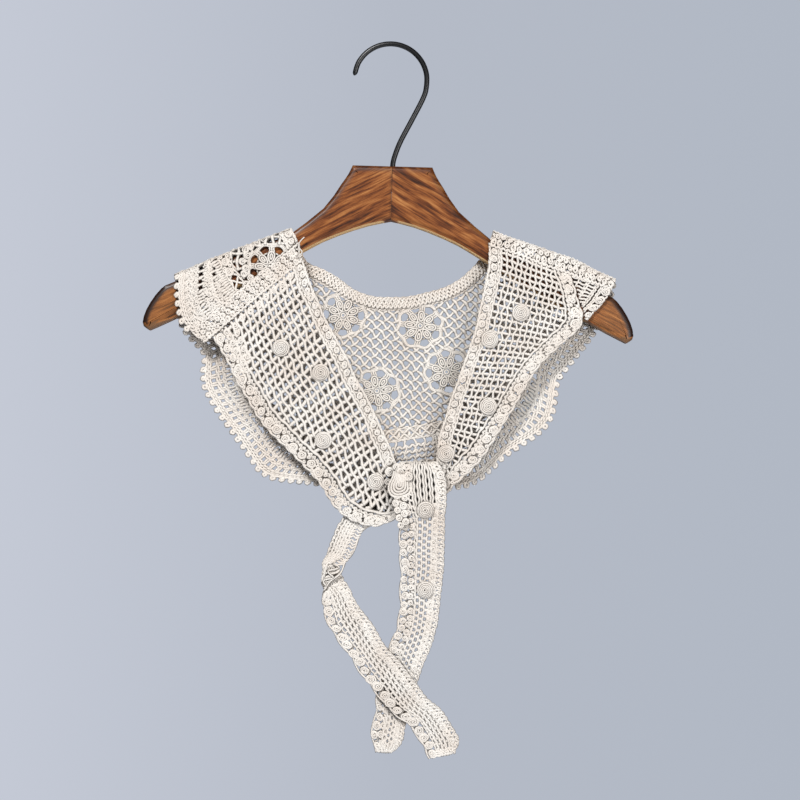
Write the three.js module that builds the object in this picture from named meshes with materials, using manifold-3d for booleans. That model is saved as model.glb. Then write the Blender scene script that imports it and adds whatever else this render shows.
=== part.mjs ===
// A crocheted cotton shawl collar with tie ends, hung on a wooden clothes hanger and tied in front.
// Millimetres, +Z up, the front faces -Y. The origin is the inside top of the hook, where a rail carries it.
import * as THREE from 'three';
import { mergeVertices } from 'three/addons/utils/BufferGeometryUtils.js';
import Module from 'manifold-3d';

const wasm = await Module();
wasm.setup();

// Driving dimensions
const gap = 0.45; // between neighbouring pieces
const seamGap = 0.6; // between a seam band and the pieces beside it
const netThickness = 1.6; // open crochet ground
const braidThickness = 2.6; // ring braid, worked thicker than the ground
const braidWidth = 11;
const seamBandWidth = 12; // double ring band that joins back and fronts
const edgingThickness = 1.8;
const tieThickness = 2;
const taperStart = 0.035; // in rows, the clearance of the edging's taper below the right seam band
const rosetteRadius = 6.8;
const rosetteHeight = 3.2;

const woodThickness = 14;
const woodRounding = 3;
const hangerCentre = { x: 0.8, z: -110 };
const hangerTilt = THREE.MathUtils.degToRad(1.6); // the right end hangs a little lower
const jointGap = 0.3;

const wireRadius = 2;
const hookRadius = 28.3; // to the middle of the wire
const hookCentre = { x: -0.4, z: -26.3 };
const shankHoleRadius = 2.5;
const shankHoleDepth = 20.5;

const archHalfDepth = 8.8; // middle of the cloth to the middle of the hanger
const archRoundness = 0.75; // exponent of the rounded fold over the hanger
const archDrop = 7; // height of the rounded part

const cotton = new THREE.MeshStandardMaterial({ color: 0xe9dfd3, roughness: 0.9, metalness: 0 });
const cottonBraid = new THREE.MeshStandardMaterial({ color: 0xefe6db, roughness: 0.9, metalness: 0 });
const stainedWood = new THREE.MeshStandardMaterial({ color: 0x8a5330, roughness: 0.5, metalness: 0 });
const blackMetal = new THREE.MeshStandardMaterial({ color: 0x16171a, roughness: 0.4, metalness: 0.8 });

// Cloth outlines. Each row runs across the cloth, and the rows follow its length.

// Back of the collar: neck edge, far side of the ring braid, and hem between the picots. The first row is the seam
// with the left front, 'top' marks the fold over the hanger, and 'notch' the hollow between two scallops.
const backRows = [
  { neckX: -68, neckZ: -165, ringX: -113, ringZ: -203, hemX: -144.5, hemZ: -229.5, neckY: -9, ringY: -9, hemY: -9 },
  { neckX: -70.5, neckZ: -155, ringX: -122, ringZ: -188, hemX: -160, hemZ: -213, neckY: -9, ringY: -9, hemY: -9 },
  { neckX: -73.5, neckZ: -147.5, ringX: -130, ringZ: -175.5, hemX: -163.5, hemZ: -193, neckY: -8.8, ringY: -8.8, hemY: -8.8 },
  { neckX: -76.5, neckZ: -142, ringX: -135, ringZ: -163.5, hemX: -163.5, hemZ: -175.5, top: true },
  { neckX: -73, neckZ: -150, ringX: -132.5, ringZ: -180.5, hemX: -164, hemZ: -196, neckY: 8.8, ringY: 8.8, hemY: 8.8 },
  { neckX: -68, neckZ: -162, ringX: -131.5, ringZ: -205.5, hemX: -160, hemZ: -218, neckY: 8.8, ringY: 8.8, hemY: 8.8 },
  { neckX: -62.5, neckZ: -167.5, ringX: -119, ringZ: -225.5, hemX: -143, hemZ: -236.5, neckY: 8.5, ringY: 8.2, hemY: 8, notch: true },
  { neckX: -53.5, neckZ: -171.5, ringX: -114.5, ringZ: -258, hemX: -143, hemZ: -264.5, neckY: 8.3, ringY: 7.5, hemY: 7.5 },
  { neckX: -41, neckZ: -179, ringX: -98.5, ringZ: -289, hemX: -118.5, hemZ: -302, neckY: 8, ringY: 7, hemY: 5.5, notch: true },
  { neckX: -28, neckZ: -187.5, ringX: -72, ringZ: -307.5, hemX: -95, hemZ: -331.5, neckY: 8, ringY: 6.5, hemY: 6 },
  { neckX: -13, neckZ: -193, ringX: -41, ringZ: -313, hemX: -53.5, hemZ: -338, neckY: 8, ringY: 6, hemY: 4, notch: true },
  { neckX: 1, neckZ: -194, ringX: -11.5, ringZ: -309, hemX: -17, hemZ: -348, neckY: 8, ringY: 5.5, hemY: 4 },
  { neckX: 14.5, neckZ: -193, ringX: 18, ringZ: -304.5, hemX: 19.5, hemZ: -341.5, neckY: 8, ringY: 5.5, hemY: 3.5, notch: true },
  { neckX: 28.5, neckZ: -190, ringX: 49.5, ringZ: -298.5, hemX: 61, hemZ: -337, neckY: 8, ringY: 6, hemY: 4.5 },
  { neckX: 42.5, neckZ: -186, ringX: 73, ringZ: -287.5, hemX: 89, hemZ: -314, neckY: 8, ringY: 6.5, hemY: 5, notch: true },
  { neckX: 53.5, neckZ: -180, ringX: 91.5, ringZ: -267.5, hemX: 120.5, hemZ: -290.5, neckY: 8.2, ringY: 7, hemY: 7 },
  { neckX: 62.5, neckZ: -172, ringX: 107.5, ringZ: -242.5, hemX: 128.5, hemZ: -256, neckY: 8.5, ringY: 7.5, hemY: 6.5, notch: true },
  { neckX: 69, neckZ: -164.5, ringX: 121.5, ringZ: -215.5, hemX: 154, hemZ: -224, neckY: 8.8, ringY: 8.3, hemY: 8.3 },
  { neckX: 74.5, neckZ: -154.5, ringX: 132.5, ringZ: -190, hemX: 165.5, hemZ: -204, neckY: 8.8, ringY: 8.8, hemY: 8.8 },
  { neckX: 79, neckZ: -143.5, ringX: 138.5, ringZ: -164.5, hemX: 172.5, hemZ: -181.5, top: true },
  { neckX: 76, neckZ: -153, ringX: 138, ringZ: -176.5, hemX: 170.5, hemZ: -188.5, neckY: -8.8, ringY: -8.8, hemY: -8.8, seam: true },
];

// The edging runs on past the right seam and tapers out along the right front.
const edgingTaperRows = [
  { ringX: 145.1, ringZ: -194.5, hemX: 163.5, hemZ: -199.5, ringY: -9, hemY: -9 },
  { ringX: 147.6, ringZ: -205.5, hemX: 156, hemZ: -207, ringY: -9, hemY: -9 },
  { ringX: 148.6, ringZ: -211.5, hemX: 151.5, hemZ: -212.5, ringY: -9, hemY: -9 },
];

// Fronts: neck side and outer side of each, from the shoulder seam down to the knot.
const leftFrontRows = [
  { inX: -67.6, inZ: -165.4, outX: -137.6, outZ: -225.9, inY: -9, outY: -9 },
  { inX: -61, inZ: -186, outX: -125.5, outZ: -246.5, inY: -9.2, outY: -9 },
  { inX: -52, inZ: -205.5, outX: -116, outZ: -264.5, inY: -9.5, outY: -9 },
  { inX: -42, inZ: -225.5, outX: -106, outZ: -282, inY: -9.8, outY: -9 },
  { inX: -31.5, inZ: -245, outX: -94.5, outZ: -297, inY: -10, outY: -9 },
  { inX: -21.5, inZ: -264.5, outX: -80.5, outZ: -311.5, inY: -10.3, outY: -9 },
  { inX: -11.5, inZ: -284.5, outX: -66.5, outZ: -324.5, inY: -10.6, outY: -9 },
  { inX: -2.5, inZ: -304.5, outX: -54, outZ: -340, inY: -11, outY: -9.2 },
  { inX: 4, inZ: -321.5, outX: -42.5, outZ: -357, inY: -11.5, outY: -9.6 },
  { inX: 7.5, inZ: -335.5, outX: -30, outZ: -366.5, inY: -12, outY: -10 },
  { inX: 10, inZ: -345, outX: -12.5, outZ: -371, inY: -12, outY: -10.8 },
  { inX: 12.5, inZ: -351, outX: 4, outZ: -365.5, inY: -12, outY: -12 },
];
const rightFrontRows = [
  { inX: 76, inZ: -153.4, outX: 137.6, outZ: -176.9, inY: -8.8, outY: -8.8 },
  { inX: 74.5, inZ: -171.5, outX: 144.5, outZ: -196, inY: -9, outY: -9 },
  { inX: 69.5, inZ: -196, outX: 147, outZ: -215.5, inY: -9, outY: -9 },
  { inX: 64, inZ: -219.5, outX: 131.5, outZ: -231, inY: -9, outY: -9 },
  { inX: 58, inZ: -239, outX: 117.5, outZ: -245, inY: -8.8, outY: -9 },
  { inX: 52, inZ: -256.5, outX: 106, outZ: -261, inY: -8.5, outY: -8.8 },
  { inX: 45.5, inZ: -273.5, outX: 94.5, outZ: -280.5, inY: -8, outY: -8.5 },
  { inX: 41, inZ: -289, outX: 83.5, outZ: -299, inY: -7.5, outY: -8 },
  { inX: 37, inZ: -303, outX: 72, outZ: -317, inY: -7, outY: -7.5 },
  { inX: 35.5, inZ: -314, outX: 58, outZ: -331.5, inY: -6.5, outY: -7 },
  { inX: 35, inZ: -324.5, outX: 46.5, outZ: -341.5, inY: -6, outY: -6.5 },
  { inX: 35, inZ: -334, outX: 43.5, outZ: -346.5, inY: -5.5, outY: -6 },
];

// Tie that comes over the top of the knot and hangs in front. It starts behind the knot.
const frontTieRows = [
  { inX: 8, inZ: -340, outX: 32, outZ: -340, inY: -2.6, outY: -2.6 },
  { inX: 7, inZ: -328, outX: 32.5, outZ: -328, inY: -3.1, outY: -3.1 },
  { inX: 7, inZ: -322.5, outX: 34.5, outZ: -322.5, inY: -10.5, outY: -10.5 },
  { inX: 4, inZ: -326, outX: 38.5, outZ: -325.5, inY: -18, outY: -18 },
  { inX: 1.5, inZ: -339.5, outX: 42, outZ: -336.5, inY: -19.5, outY: -19.5 },
  { inX: 3, inZ: -355, outX: 42.5, outZ: -351, inY: -19.5, outY: -19.5 },
  { inX: 7, inZ: -369.5, outX: 42, outZ: -368, inY: -17, outY: -17 },
  { inX: 6, inZ: -386, outX: 41.5, outZ: -386, inY: -14.5, outY: -14.5 },
  { inX: 7, inZ: -403.5, outX: 40.5, outZ: -403.5, inY: -12, outY: -12.5 },
  { inX: 7, inZ: -422, outX: 38.5, outZ: -422, inY: -10, outY: -10.5 },
  { inX: 7, inZ: -436, outX: 36.5, outZ: -439, inY: -9, outY: -9.5 },
  { inX: 3, inZ: -453, outX: 32.5, outZ: -459.5, inY: -8, outY: -8.5 },
  { inX: -2.5, inZ: -468.5, outX: 25.5, outZ: -478, inY: -7.5, outY: -7.5 },
  { inX: -7.5, inZ: -486.5, outX: 18.5, outZ: -498, inY: -7, outY: -7 },
  { inX: -11.5, inZ: -503.5, outX: 14, outZ: -515, inY: -6.5, outY: -6.5 },
  { inX: -13, inZ: -518, outX: 11.5, outZ: -527.5, inY: -6, outY: -6.5 },
  { inX: -15.5, inZ: -533, outX: 8.5, outZ: -538.5, inY: -6, outY: -6 },
  { inX: -11.5, inZ: -545.5, outX: 1.5, outZ: -545.5, inY: -6, outY: -6 },
];

// Tie that leaves the knot behind the left front, folds over at the loop and crosses in front of the other. Rows in
// the fold have a middle point, where the cloth turns back on itself.
const crossingTieRows = [
  { inX: 34.6, inZ: -334.6, outX: 43.1, outZ: -347.1, inY: -5.5, outY: -6 },
  { inX: 21, inZ: -338, outX: 26.5, outZ: -355.5, inY: -5.2, outY: -5.4 },
  { inX: 5.5, inZ: -340, outX: 13, outZ: -359.5, inY: -5.2, outY: -5.4 },
  { inX: -12.5, inZ: -345, outX: 0, outZ: -362, inY: -5.4, outY: -5.8 },
  { inX: -30, inZ: -357, outX: -14.5, outZ: -369.5, inY: -6, outY: -6.4 },
  { inX: -39.5, inZ: -368, outX: -21, outZ: -374, inY: -6.5, outY: -7 },
  { inX: -45.5, inZ: -380.5, outX: -26.5, outZ: -384.5, inY: -7, outY: -8 },
  { inX: -49, inZ: -389.5, outX: -31.5, outZ: -395, inY: -7, outY: -9.5 },
  { inX: -46.5, inZ: -394.5, outX: -36.5, outZ: -401.5, inY: -6.8, outY: -11, midX: -50.5, midZ: -399, midY: -9 },
  { inX: -42.5, inZ: -399, outX: -40, outZ: -408.5, inY: -6.6, outY: -11.8, midX: -51.5, midZ: -405, midY: -9.2 },
  { inX: -38.5, inZ: -405, outX: -47, outZ: -415.5, inY: -6.8, outY: -11.8, midX: -52, midZ: -413, midY: -9.2 },
  { inX: -35.5, inZ: -411.5, outX: -51.5, outZ: -422, inY: -7.4, outY: -10.8, midX: -46.5, midZ: -419, midY: -9.2 },
  { inX: -31, inZ: -419, outX: -53, outZ: -430, inY: -8.4, outY: -10.2 },
  { inX: -26.5, inZ: -429, outX: -52.5, outZ: -433, inY: -9.4, outY: -10.2 },
  { inX: -18, inZ: -441.5, outX: -48, outZ: -447, inY: -10.4, outY: -10.6 },
  { inX: -9.5, inZ: -454, outX: -39.5, outZ: -460, inY: -11.4, outY: -11.4 },
  { inX: -1, inZ: -466.5, outX: -29.5, outZ: -474, inY: -12.2, outY: -12.2 },
  { inX: 9.5, inZ: -478.5, outX: -18.5, outZ: -489.5, inY: -12.6, outY: -12.6 },
  { inX: 20, inZ: -492, outX: -7.5, outZ: -504.5, inY: -12.6, outY: -12.6 },
  { inX: 28.5, inZ: -503.5, outX: 4, outZ: -516, inY: -12, outY: -12 },
  { inX: 38, inZ: -512, outX: 14.5, outZ: -525, inY: -11, outY: -11 },
  { inX: 46.5, inZ: -523, outX: 22.5, outZ: -537, inY: -10.5, outY: -10.5 },
  { inX: 52.5, inZ: -535, outX: 26.5, outZ: -544.5, inY: -10.5, outY: -10.5 },
  { inX: 49.5, inZ: -546, outX: 30, outZ: -550, inY: -10.5, outY: -10.5 },
];

// Raised spiral rosettes, by the piece that they are sewn to.
const rosettes = [
  { name: 'rosette_left_1', on: 'left', x: -84.5, z: -233.5 },
  { name: 'rosette_left_2', on: 'left', x: -54, z: -252.5 },
  { name: 'rosette_left_3', on: 'left', x: -52, z: -304.5 },
  { name: 'rosette_left_4', on: 'left', x: -11.5, z: -336.5 },
  { name: 'rosette_right_1', on: 'right', x: 100, z: -206.5 },
  { name: 'rosette_right_2', on: 'right', x: 76, z: -227 },
  { name: 'rosette_right_3', on: 'right', x: 75, z: -278.5 },
  { name: 'rosette_right_4', on: 'right', x: 42.5, z: -315 },
  { name: 'rosette_front_tie_1', on: 'frontTie', x: 26.5, z: -357.5 },
  { name: 'rosette_front_tie_2', on: 'frontTie', x: 26.5, z: -419.5 },
  { name: 'rosette_crossing_tie', on: 'crossingTie', x: -32, z: -443.5, behind: true },
];

// Knot: the gathered cloth between the two ties, as a rounded lump.
const knot = { x: 25.5, y: -12.8, z: -344.5, halfWidth: 13.5, halfDepth: 4.9, halfHeight: 19 };

// Interpolation along the rows

// Catmull-Rom through one column of a table, with the slope broken at rows whose mark is set.
function column(rows, key, mark) {
  const values = rows.map((row) => row[key]);
  const broken = rows.map((row) => Boolean(mark && row[mark]));
  const last = rows.length - 1;
  return (u) => {
    const i = Math.min(Math.max(Math.floor(u), 0), last - 1);
    const t = u - i;
    const a = values[i];
    const b = values[i + 1];
    const before = i > 0 && !broken[i] ? values[i - 1] : 2 * a - b;
    const after = i + 2 <= last && !broken[i + 1] ? values[i + 2] : 2 * b - a;
    const slopeA = (b - before) / 2;
    const slopeB = (after - a) / 2;
    const t2 = t * t;
    const t3 = t2 * t;
    return (2 * t3 - 3 * t2 + 1) * a + (t3 - 2 * t2 + t) * slopeA + (3 * t2 - 2 * t3) * b + (t3 - t2) * slopeB;
  };
}

// A sheet between two edges: sheet(u, v) is a point, with u in rows and v from 0 to 1 across. The first edge bends
// sharply at the row marked 'seam', the second one at rows with the given mark.
function loft(rows, from, to, mark) {
  const read = (edge, sharp) => ['X', 'Y', 'Z'].map((axis) => column(rows, edge + axis, sharp));
  const start = read(from, 'seam');
  const end = read(to, mark);
  const middleRows = rows.map((row) => ({
    midX: row.midX ?? (row[`${from}X`] + row[`${to}X`]) / 2,
    midY: row.midY ?? (row[`${from}Y`] + row[`${to}Y`]) / 2,
    midZ: row.midZ ?? (row[`${from}Z`] + row[`${to}Z`]) / 2,
  }));
  const bent = rows.some((row) => row.midX !== undefined);
  const middle = ['midX', 'midY', 'midZ'].map((key) => column(middleRows, key));
  const sheet = (u, v) => {
    const p = start.map((f, i) => {
      const a = f(u);
      const b = end[i](u);
      const m = bent ? middle[i](u) : (a + b) / 2;
      return a * (1 - v) * (1 - 2 * v) + 4 * m * v * (1 - v) + b * v * (2 * v - 1);
    });
    return new THREE.Vector3(...p);
  };
  sheet.rows = rows.length - 1;
  return sheet;
}

// The fold over the hanger becomes rows of its own on a rounded arch between the rows in front of it and behind it.
function withArches(rows) {
  const archAngles = [-60, -30, 0, 30, 60];
  return rows.flatMap((row, i) => {
    if (!row.top) return [row];
    return archAngles.map((degrees) => {
      const angle = THREE.MathUtils.degToRad(degrees);
      const side = Math.sign(degrees) * (rows[i - 1].neckY < 0 ? 1 : -1);
      const neighbour = degrees < 0 ? rows[i - 1] : rows[i + 1];
      const drop = 1 - Math.cos(angle) ** archRoundness;
      const out = { };
      for (const edge of ['neck', 'ring', 'hem']) {
        const height = row[`${edge}Z`] - neighbour[`${edge}Z`];
        const share = (drop * Math.min(archDrop, 0.8 * height)) / height;
        out[`${edge}X`] = row[`${edge}X`] + (neighbour[`${edge}X`] - row[`${edge}X`]) * share;
        out[`${edge}Z`] = row[`${edge}Z`] - height * share;
        out[`${edge}Y`] = side * archHalfDepth * Math.abs(Math.sin(angle)) ** archRoundness;
      }
      return out;
    });
  });
}

// Solids

// Closed wall of even thickness about a sheet. place(s, t) gives the sheet's u and v, with s and t from 0 to 1.
function wall(sheet, place, stepsAlong, stepsAcross, thickness) {
  const small = 1e-3;
  const columns = stepsAcross + 1;
  const count = (stepsAlong + 1) * columns;
  const points = new Float32Array(count * 6);
  const point = (s, t) => sheet(...place(s, t));
  for (let i = 0; i <= stepsAlong; i += 1) {
    for (let j = 0; j <= stepsAcross; j += 1) {
      const s = i / stepsAlong;
      const t = j / stepsAcross;
      const p = point(s, t);
      const s0 = Math.max(s - small, 0);
      const s1 = Math.min(s + small, 1);
      const t0 = Math.max(t - small, 0);
      const t1 = Math.min(t + small, 1);
      const along = point(s1, t).sub(point(s0, t));
      const across = point(s, t1).sub(point(s, t0));
      const normal = along.cross(across).normalize().multiplyScalar(thickness / 2);
      const k = i * columns + j;
      p.clone().add(normal).toArray(points, k * 3);
      p.clone().sub(normal).toArray(points, (count + k) * 3);
    }
  }
  const index = [];
  const quad = (a, b, c, d) => index.push(a, b, c, a, c, d);
  for (let i = 0; i < stepsAlong; i += 1) {
    for (let j = 0; j < stepsAcross; j += 1) {
      const k = i * columns + j;
      quad(k, k + columns, k + columns + 1, k + 1);
      quad(count + k, count + k + 1, count + k + columns + 1, count + k + columns);
    }
    const low = i * columns;
    const high = low + stepsAcross;
    quad(low, count + low, count + low + columns, low + columns);
    quad(high, high + columns, count + high + columns, count + high);
  }
  for (let j = 0; j < stepsAcross; j += 1) {
    const last = stepsAlong * columns + j;
    quad(j, j + 1, count + j + 1, count + j);
    quad(last, count + last, count + last + 1, last + 1);
  }
  const geometry = new THREE.BufferGeometry();
  geometry.setAttribute('position', new THREE.BufferAttribute(points, 3));
  geometry.setIndex(index);
  return geometry;
}

function toManifold(geometry) {
  const plain = new THREE.BufferGeometry();
  plain.setAttribute('position', geometry.getAttribute('position'));
  plain.setIndex(geometry.getIndex());
  const merged = mergeVertices(plain, 1e-4);
  return new wasm.Manifold(new wasm.Mesh({
    numProp: 3,
    vertProperties: new Float32Array(merged.getAttribute('position').array),
    triVerts: new Uint32Array(merged.getIndex().array),
  }));
}

function fromManifold(solid) {
  const mesh = solid.getMesh();
  const geometry = new THREE.BufferGeometry();
  geometry.setAttribute('position', new THREE.BufferAttribute(new Float32Array(mesh.vertProperties), 3));
  geometry.setIndex(new THREE.BufferAttribute(new Uint32Array(mesh.triVerts), 1));
  return geometry;
}

const root = new THREE.Group();

function add(name, geometry, material, parent = root) {
  const mesh = new THREE.Mesh(geometry, material);
  mesh.name = name;
  parent.add(mesh);
  return mesh;
}

// Wooden hanger, in a group turned about the middle of its block

// Right half of the outline, from the top of the block round the end to the middle of the underside.
function hangerOutline() {
  const flank = [[30.8, -93.2], [33.9, -100], [39.5, -108.5], [52.3, -127], [76.8, -147.2]];
  const shoulder = [[76.8, -147.2], [120, -166], [164, -186], [176, -192.5], [186.3, -207.5], [189.5, -220], [184, -225]];
  const underside = [[184, -225], [162.8, -214.7], [115, -189], [70, -163], [49, -151.3], [21, -140.5], [0, -135.5]];
  const sample = (points, steps) => new THREE.SplineCurve(points.map(([x, z]) => new THREE.Vector2(x, z))).getPoints(steps);
  const right = [...sample(flank, 8), ...sample(shoulder, 16).slice(1), ...sample(underside, 14).slice(1)];
  const left = right.slice(0, -1).reverse().map((p) => new THREE.Vector2(-p.x, p.y));
  return [...right, ...left].map((p) => new THREE.Vector2(p.x, p.y - hangerCentre.z));
}

const hanger = new THREE.Group();
hanger.position.set(hangerCentre.x, 0, hangerCentre.z);
hanger.rotation.y = hangerTilt;
root.add(hanger);

const hangerBoard = new THREE.ExtrudeGeometry(new THREE.Shape(hangerOutline()), {
  depth: woodThickness - 2 * woodRounding,
  bevelThickness: woodRounding,
  bevelSize: woodRounding,
  bevelOffset: -woodRounding,
  bevelSegments: 2,
});
hangerBoard.translate(0, 0, -(woodThickness / 2 - woodRounding));
hangerBoard.rotateX(Math.PI / 2);

const blockTop = -93 - hangerCentre.z;
const shankHole = new THREE.CylinderGeometry(shankHoleRadius, shankHoleRadius, shankHoleDepth * 2, 16);
shankHole.rotateX(Math.PI / 2);
shankHole.translate(0, 0, blockTop);
const board = toManifold(hangerBoard).subtract(toManifold(shankHole));
for (const [name, side] of [['hanger_half_left', -1], ['hanger_half_right', 1]]) {
  const reach = 400;
  const halfSpace = new THREE.BoxGeometry(reach, reach, reach);
  halfSpace.translate(side * (reach / 2 + jointGap / 2), 0, 0);
  add(name, fromManifold(board.intersect(toManifold(halfSpace))), stainedWood, hanger);
}

// Hook: a round bend, a slanted neck and a short shank in the block
function hookPath() {
  const points = [];
  for (let degrees = 172; degrees >= -12; degrees -= 23) {
    const angle = THREE.MathUtils.degToRad(degrees);
    const x = hookCentre.x + hookRadius * Math.cos(angle);
    const z = hookCentre.z + hookRadius * Math.sin(angle);
    points.push(new THREE.Vector3(x, 0, z));
  }
  for (const [x, z] of [[24.5, -41], [16.2, -57], [7.2, -74], [2.6, -86], [1.3, -93], [0.9, -103], [0.7, -113]]) {
    points.push(new THREE.Vector3(x, 0, z));
  }
  return new THREE.CatmullRomCurve3(points);
}
const wireSection = new THREE.Shape().absarc(0, 0, wireRadius, 0, 2 * Math.PI);
const hookWire = new THREE.ExtrudeGeometry(wireSection, { steps: 40, curveSegments: 8, extrudePath: hookPath() });
add('hanger_hook', fromManifold(toManifold(hookWire)), blackMetal);

// Collar

const backTable = withArches(backRows);
const back = loft(backTable, 'neck', 'ring');
const edging = loft([...backTable, ...edgingTaperRows], 'ring', 'hem', 'notch');
const leftFront = loft(leftFrontRows, 'in', 'out');
const rightFront = loft(rightFrontRows, 'in', 'out');
const frontTie = loft(frontTieRows, 'in', 'out');
const crossingTie = loft(crossingTieRows, 'in', 'out');

const lerp = THREE.MathUtils.lerp;
const widthAt = (sheet, u) => sheet(u, 0).distanceTo(sheet(u, 1));
const share = (sheet, u, length) => length / widthAt(sheet, u);

// The back from the neck edge to the hem, through the ring line, as one sheet.
const ringShare = 0.6;
function backToHem(u, v) {
  return v < ringShare ? back(u, v / ringShare) : edging(u, (v - ringShare) / (1 - ringShare));
}

// Row number at a distance from a shoulder seam, measured along the cloth and square to the seam, followed at v.
function rowFromSeam(sheet, v, distance, right) {
  const seamRow = right ? back.rows : 0;
  const seam = backToHem(seamRow, 1).sub(backToHem(seamRow, 0)).normalize();
  const step = right ? -0.02 : 0.02;
  let u = seamRow;
  let walked = 0;
  while (walked < distance) {
    const move = sheet(u + step, v).sub(sheet(u, v));
    walked += move.addScaledVector(seam, -move.dot(seam)).length();
    u += step;
  }
  return u;
}

// Back: seam bands at both ends, braid along the neck and the ring line, and the net between them
const bandEnd = (v, right) => rowFromSeam(backToHem, v, seamBandWidth, right);
const bandLeft = (s, t) => [lerp(0, bandEnd(t, false), s), t];
const bandRight = (s, t) => [lerp(bandEnd(t, true), back.rows, s), t];
add('seam_band_left', wall(backToHem, bandLeft, 3, 10, braidThickness), cottonBraid);
add('seam_band_right', wall(backToHem, bandRight, 10, 10, braidThickness), cottonBraid);

// A strip of the back from one seam band to the other. All strips have the same rows between the shoulders.
const firstShoulder = 2;
const lastShoulder = back.rows - 6;
const stepsPerRow = 3;
const stepsFirst = 4;
const stepsBetween = (lastShoulder - firstShoulder) * stepsPerRow;
const stepsLast = 10;
const stepsBack = stepsFirst + stepsBetween + stepsLast;
function acrossBack(sheet, from, to) {
  const seamRow = (t, right) => {
    let u = right ? back.rows : 0;
    const distance = seamBandWidth + seamGap;
    for (let i = 0; i < 3; i += 1) u = rowFromSeam(sheet, lerp(from(u), to(u), t), distance, right);
    return u;
  };
  return (s, t) => {
    const step = s * stepsBack - stepsFirst;
    let u = firstShoulder + step / stepsPerRow;
    if (step < 0) u = lerp(firstShoulder, seamRow(t, false), -step / stepsFirst);
    if (step > stepsBetween) u = lerp(lastShoulder, seamRow(t, true), (step - stepsBetween) / stepsLast);
    return [u, lerp(from(u), to(u), t)];
  };
}
const start = () => 0;
const end = () => 1;
const braidShare = (u) => share(back, u, braidWidth);
const braidAndGap = (u) => share(back, u, braidWidth + gap);
const neckBraid = acrossBack(back, start, braidShare);
const net = acrossBack(back, braidAndGap, (u) => 1 - braidAndGap(u));
const ringBraid = acrossBack(back, (u) => 1 - braidShare(u), end);
add('neck_braid_back', wall(back, neckBraid, stepsBack, 1, braidThickness), cottonBraid);
add('back_net', wall(back, net, stepsBack, 4, netThickness), cotton);
add('back_ring_braid', wall(back, ringBraid, stepsBack, 1, braidThickness), cottonBraid);

// Scalloped edging round the outer side, and the piece of it that tapers out below the right seam
const edgingStart = (u) => Math.min(share(edging, u, gap), 0.08);
add('scalloped_edging', wall(edging, acrossBack(edging, edgingStart, end), stepsBack, 2, edgingThickness), cotton);
const taper = (s, t) => {
  const u = lerp(back.rows + taperStart, edging.rows, s);
  return [u, lerp(edgingStart(u), 1, t)];
};
add('edging_taper_right', wall(edging, taper, 9, 2, edgingThickness), cotton);

// Fronts: net with a ring braid on both long sides
for (const [side, sheet] of [['left', leftFront], ['right', rightFront]]) {
  const braid = (u) => Math.min(share(sheet, u, braidWidth), 0.32);
  const braidGap = (u) => braid(u) + share(sheet, u, gap);
  const strip = (from, to) => (s, t) => {
    const u = lerp(0, sheet.rows, s);
    return [u, lerp(from(u), to(u), t)];
  };
  add(`front_net_${side}`, wall(sheet, strip(braidGap, (u) => 1 - braidGap(u)), 22, 4, netThickness), cotton);
  add(`front_neck_braid_${side}`, wall(sheet, strip(() => 0, braid), 22, 1, braidThickness), cottonBraid);
  add(`front_outer_braid_${side}`, wall(sheet, strip((u) => 1 - braid(u), () => 1), 22, 1, braidThickness), cottonBraid);
}

// Ties and knot
const whole = (sheet) => (s, t) => [lerp(0, sheet.rows, s), t];
add('front_tie', wall(frontTie, whole(frontTie), 46, 3, tieThickness), cotton);
add('crossing_tie', wall(crossingTie, whole(crossingTie), 58, 4, tieThickness), cotton);

const knotLump = new THREE.SphereGeometry(1, 16, 10);
knotLump.scale(knot.halfWidth, knot.halfHeight, knot.halfDepth);
knotLump.rotateX(Math.PI / 2);
knotLump.translate(knot.x, knot.y, knot.z);
add('knot_wrap', fromManifold(toManifold(knotLump)), cotton);

// Rosettes: low domes that stand square to the cloth
function nearest(sheet, x, z) {
  let best = { distance: Infinity };
  for (let i = 1; i < 400; i += 1) {
    for (let j = 1; j < 20; j += 1) {
      const u = (sheet.rows * i) / 400;
      const v = j / 20;
      const p = sheet(u, v);
      const distance = Math.hypot(p.x - x, p.z - z);
      if (distance < best.distance && p.y < 0) best = { distance, u, v, p };
    }
  }
  return best;
}

function normalAt(sheet, u, v) {
  const small = 0.01;
  const along = sheet(u + small, v).sub(sheet(u - small, v));
  const across = sheet(u, v + small).sub(sheet(u, v - small));
  return along.cross(across).normalize();
}

const sheets = { left: leftFront, right: rightFront, frontTie, crossingTie };
const rosetteSide = [[0, 0], [1, 0], [1, 0.35], [0.8, 0.75], [0.4, 1], [0, 1]];
for (const { name, on, x, z, behind } of rosettes) {
  const profile = rosetteSide.map(([r, h]) => new THREE.Vector2(r * rosetteRadius, h * rosetteHeight));
  const dome = new THREE.LatheGeometry(profile, 14);
  const { u, v, p } = nearest(sheets[on], x, z);
  const normal = normalAt(sheets[on], u, v);
  if (normal.y > 0 !== Boolean(behind)) normal.negate();
  dome.applyQuaternion(new THREE.Quaternion().setFromUnitVectors(new THREE.Vector3(0, 1, 0), normal));
  const base = new THREE.Vector3(x, p.y, z).addScaledVector(normal, braidThickness / 2 + gap);
  dome.translate(...base);
  add(name, fromManifold(toManifold(dome)), cottonBraid);
}

export default root;
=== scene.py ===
# %% [markdown]
# # A crocheted collar on a wooden hanger
# A shawl collar of unbleached cotton crochet hangs on a stained wooden hanger, and its two ends are tied in front.
# Crochet is one long yarn that runs over and under itself, with holes between. A flat sheet with a picture of holes
# would look wrong as soon as the light or the camera moves, so here every stitch is a real strand. The strands follow
# the same curved surfaces that the solid model was made from.

# %% Load the solid model and keep its box
import math
import bmesh
import bpy
import numpy as np
from mathutils import Matrix, Vector
from mathutils.kdtree import KDTree


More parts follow.
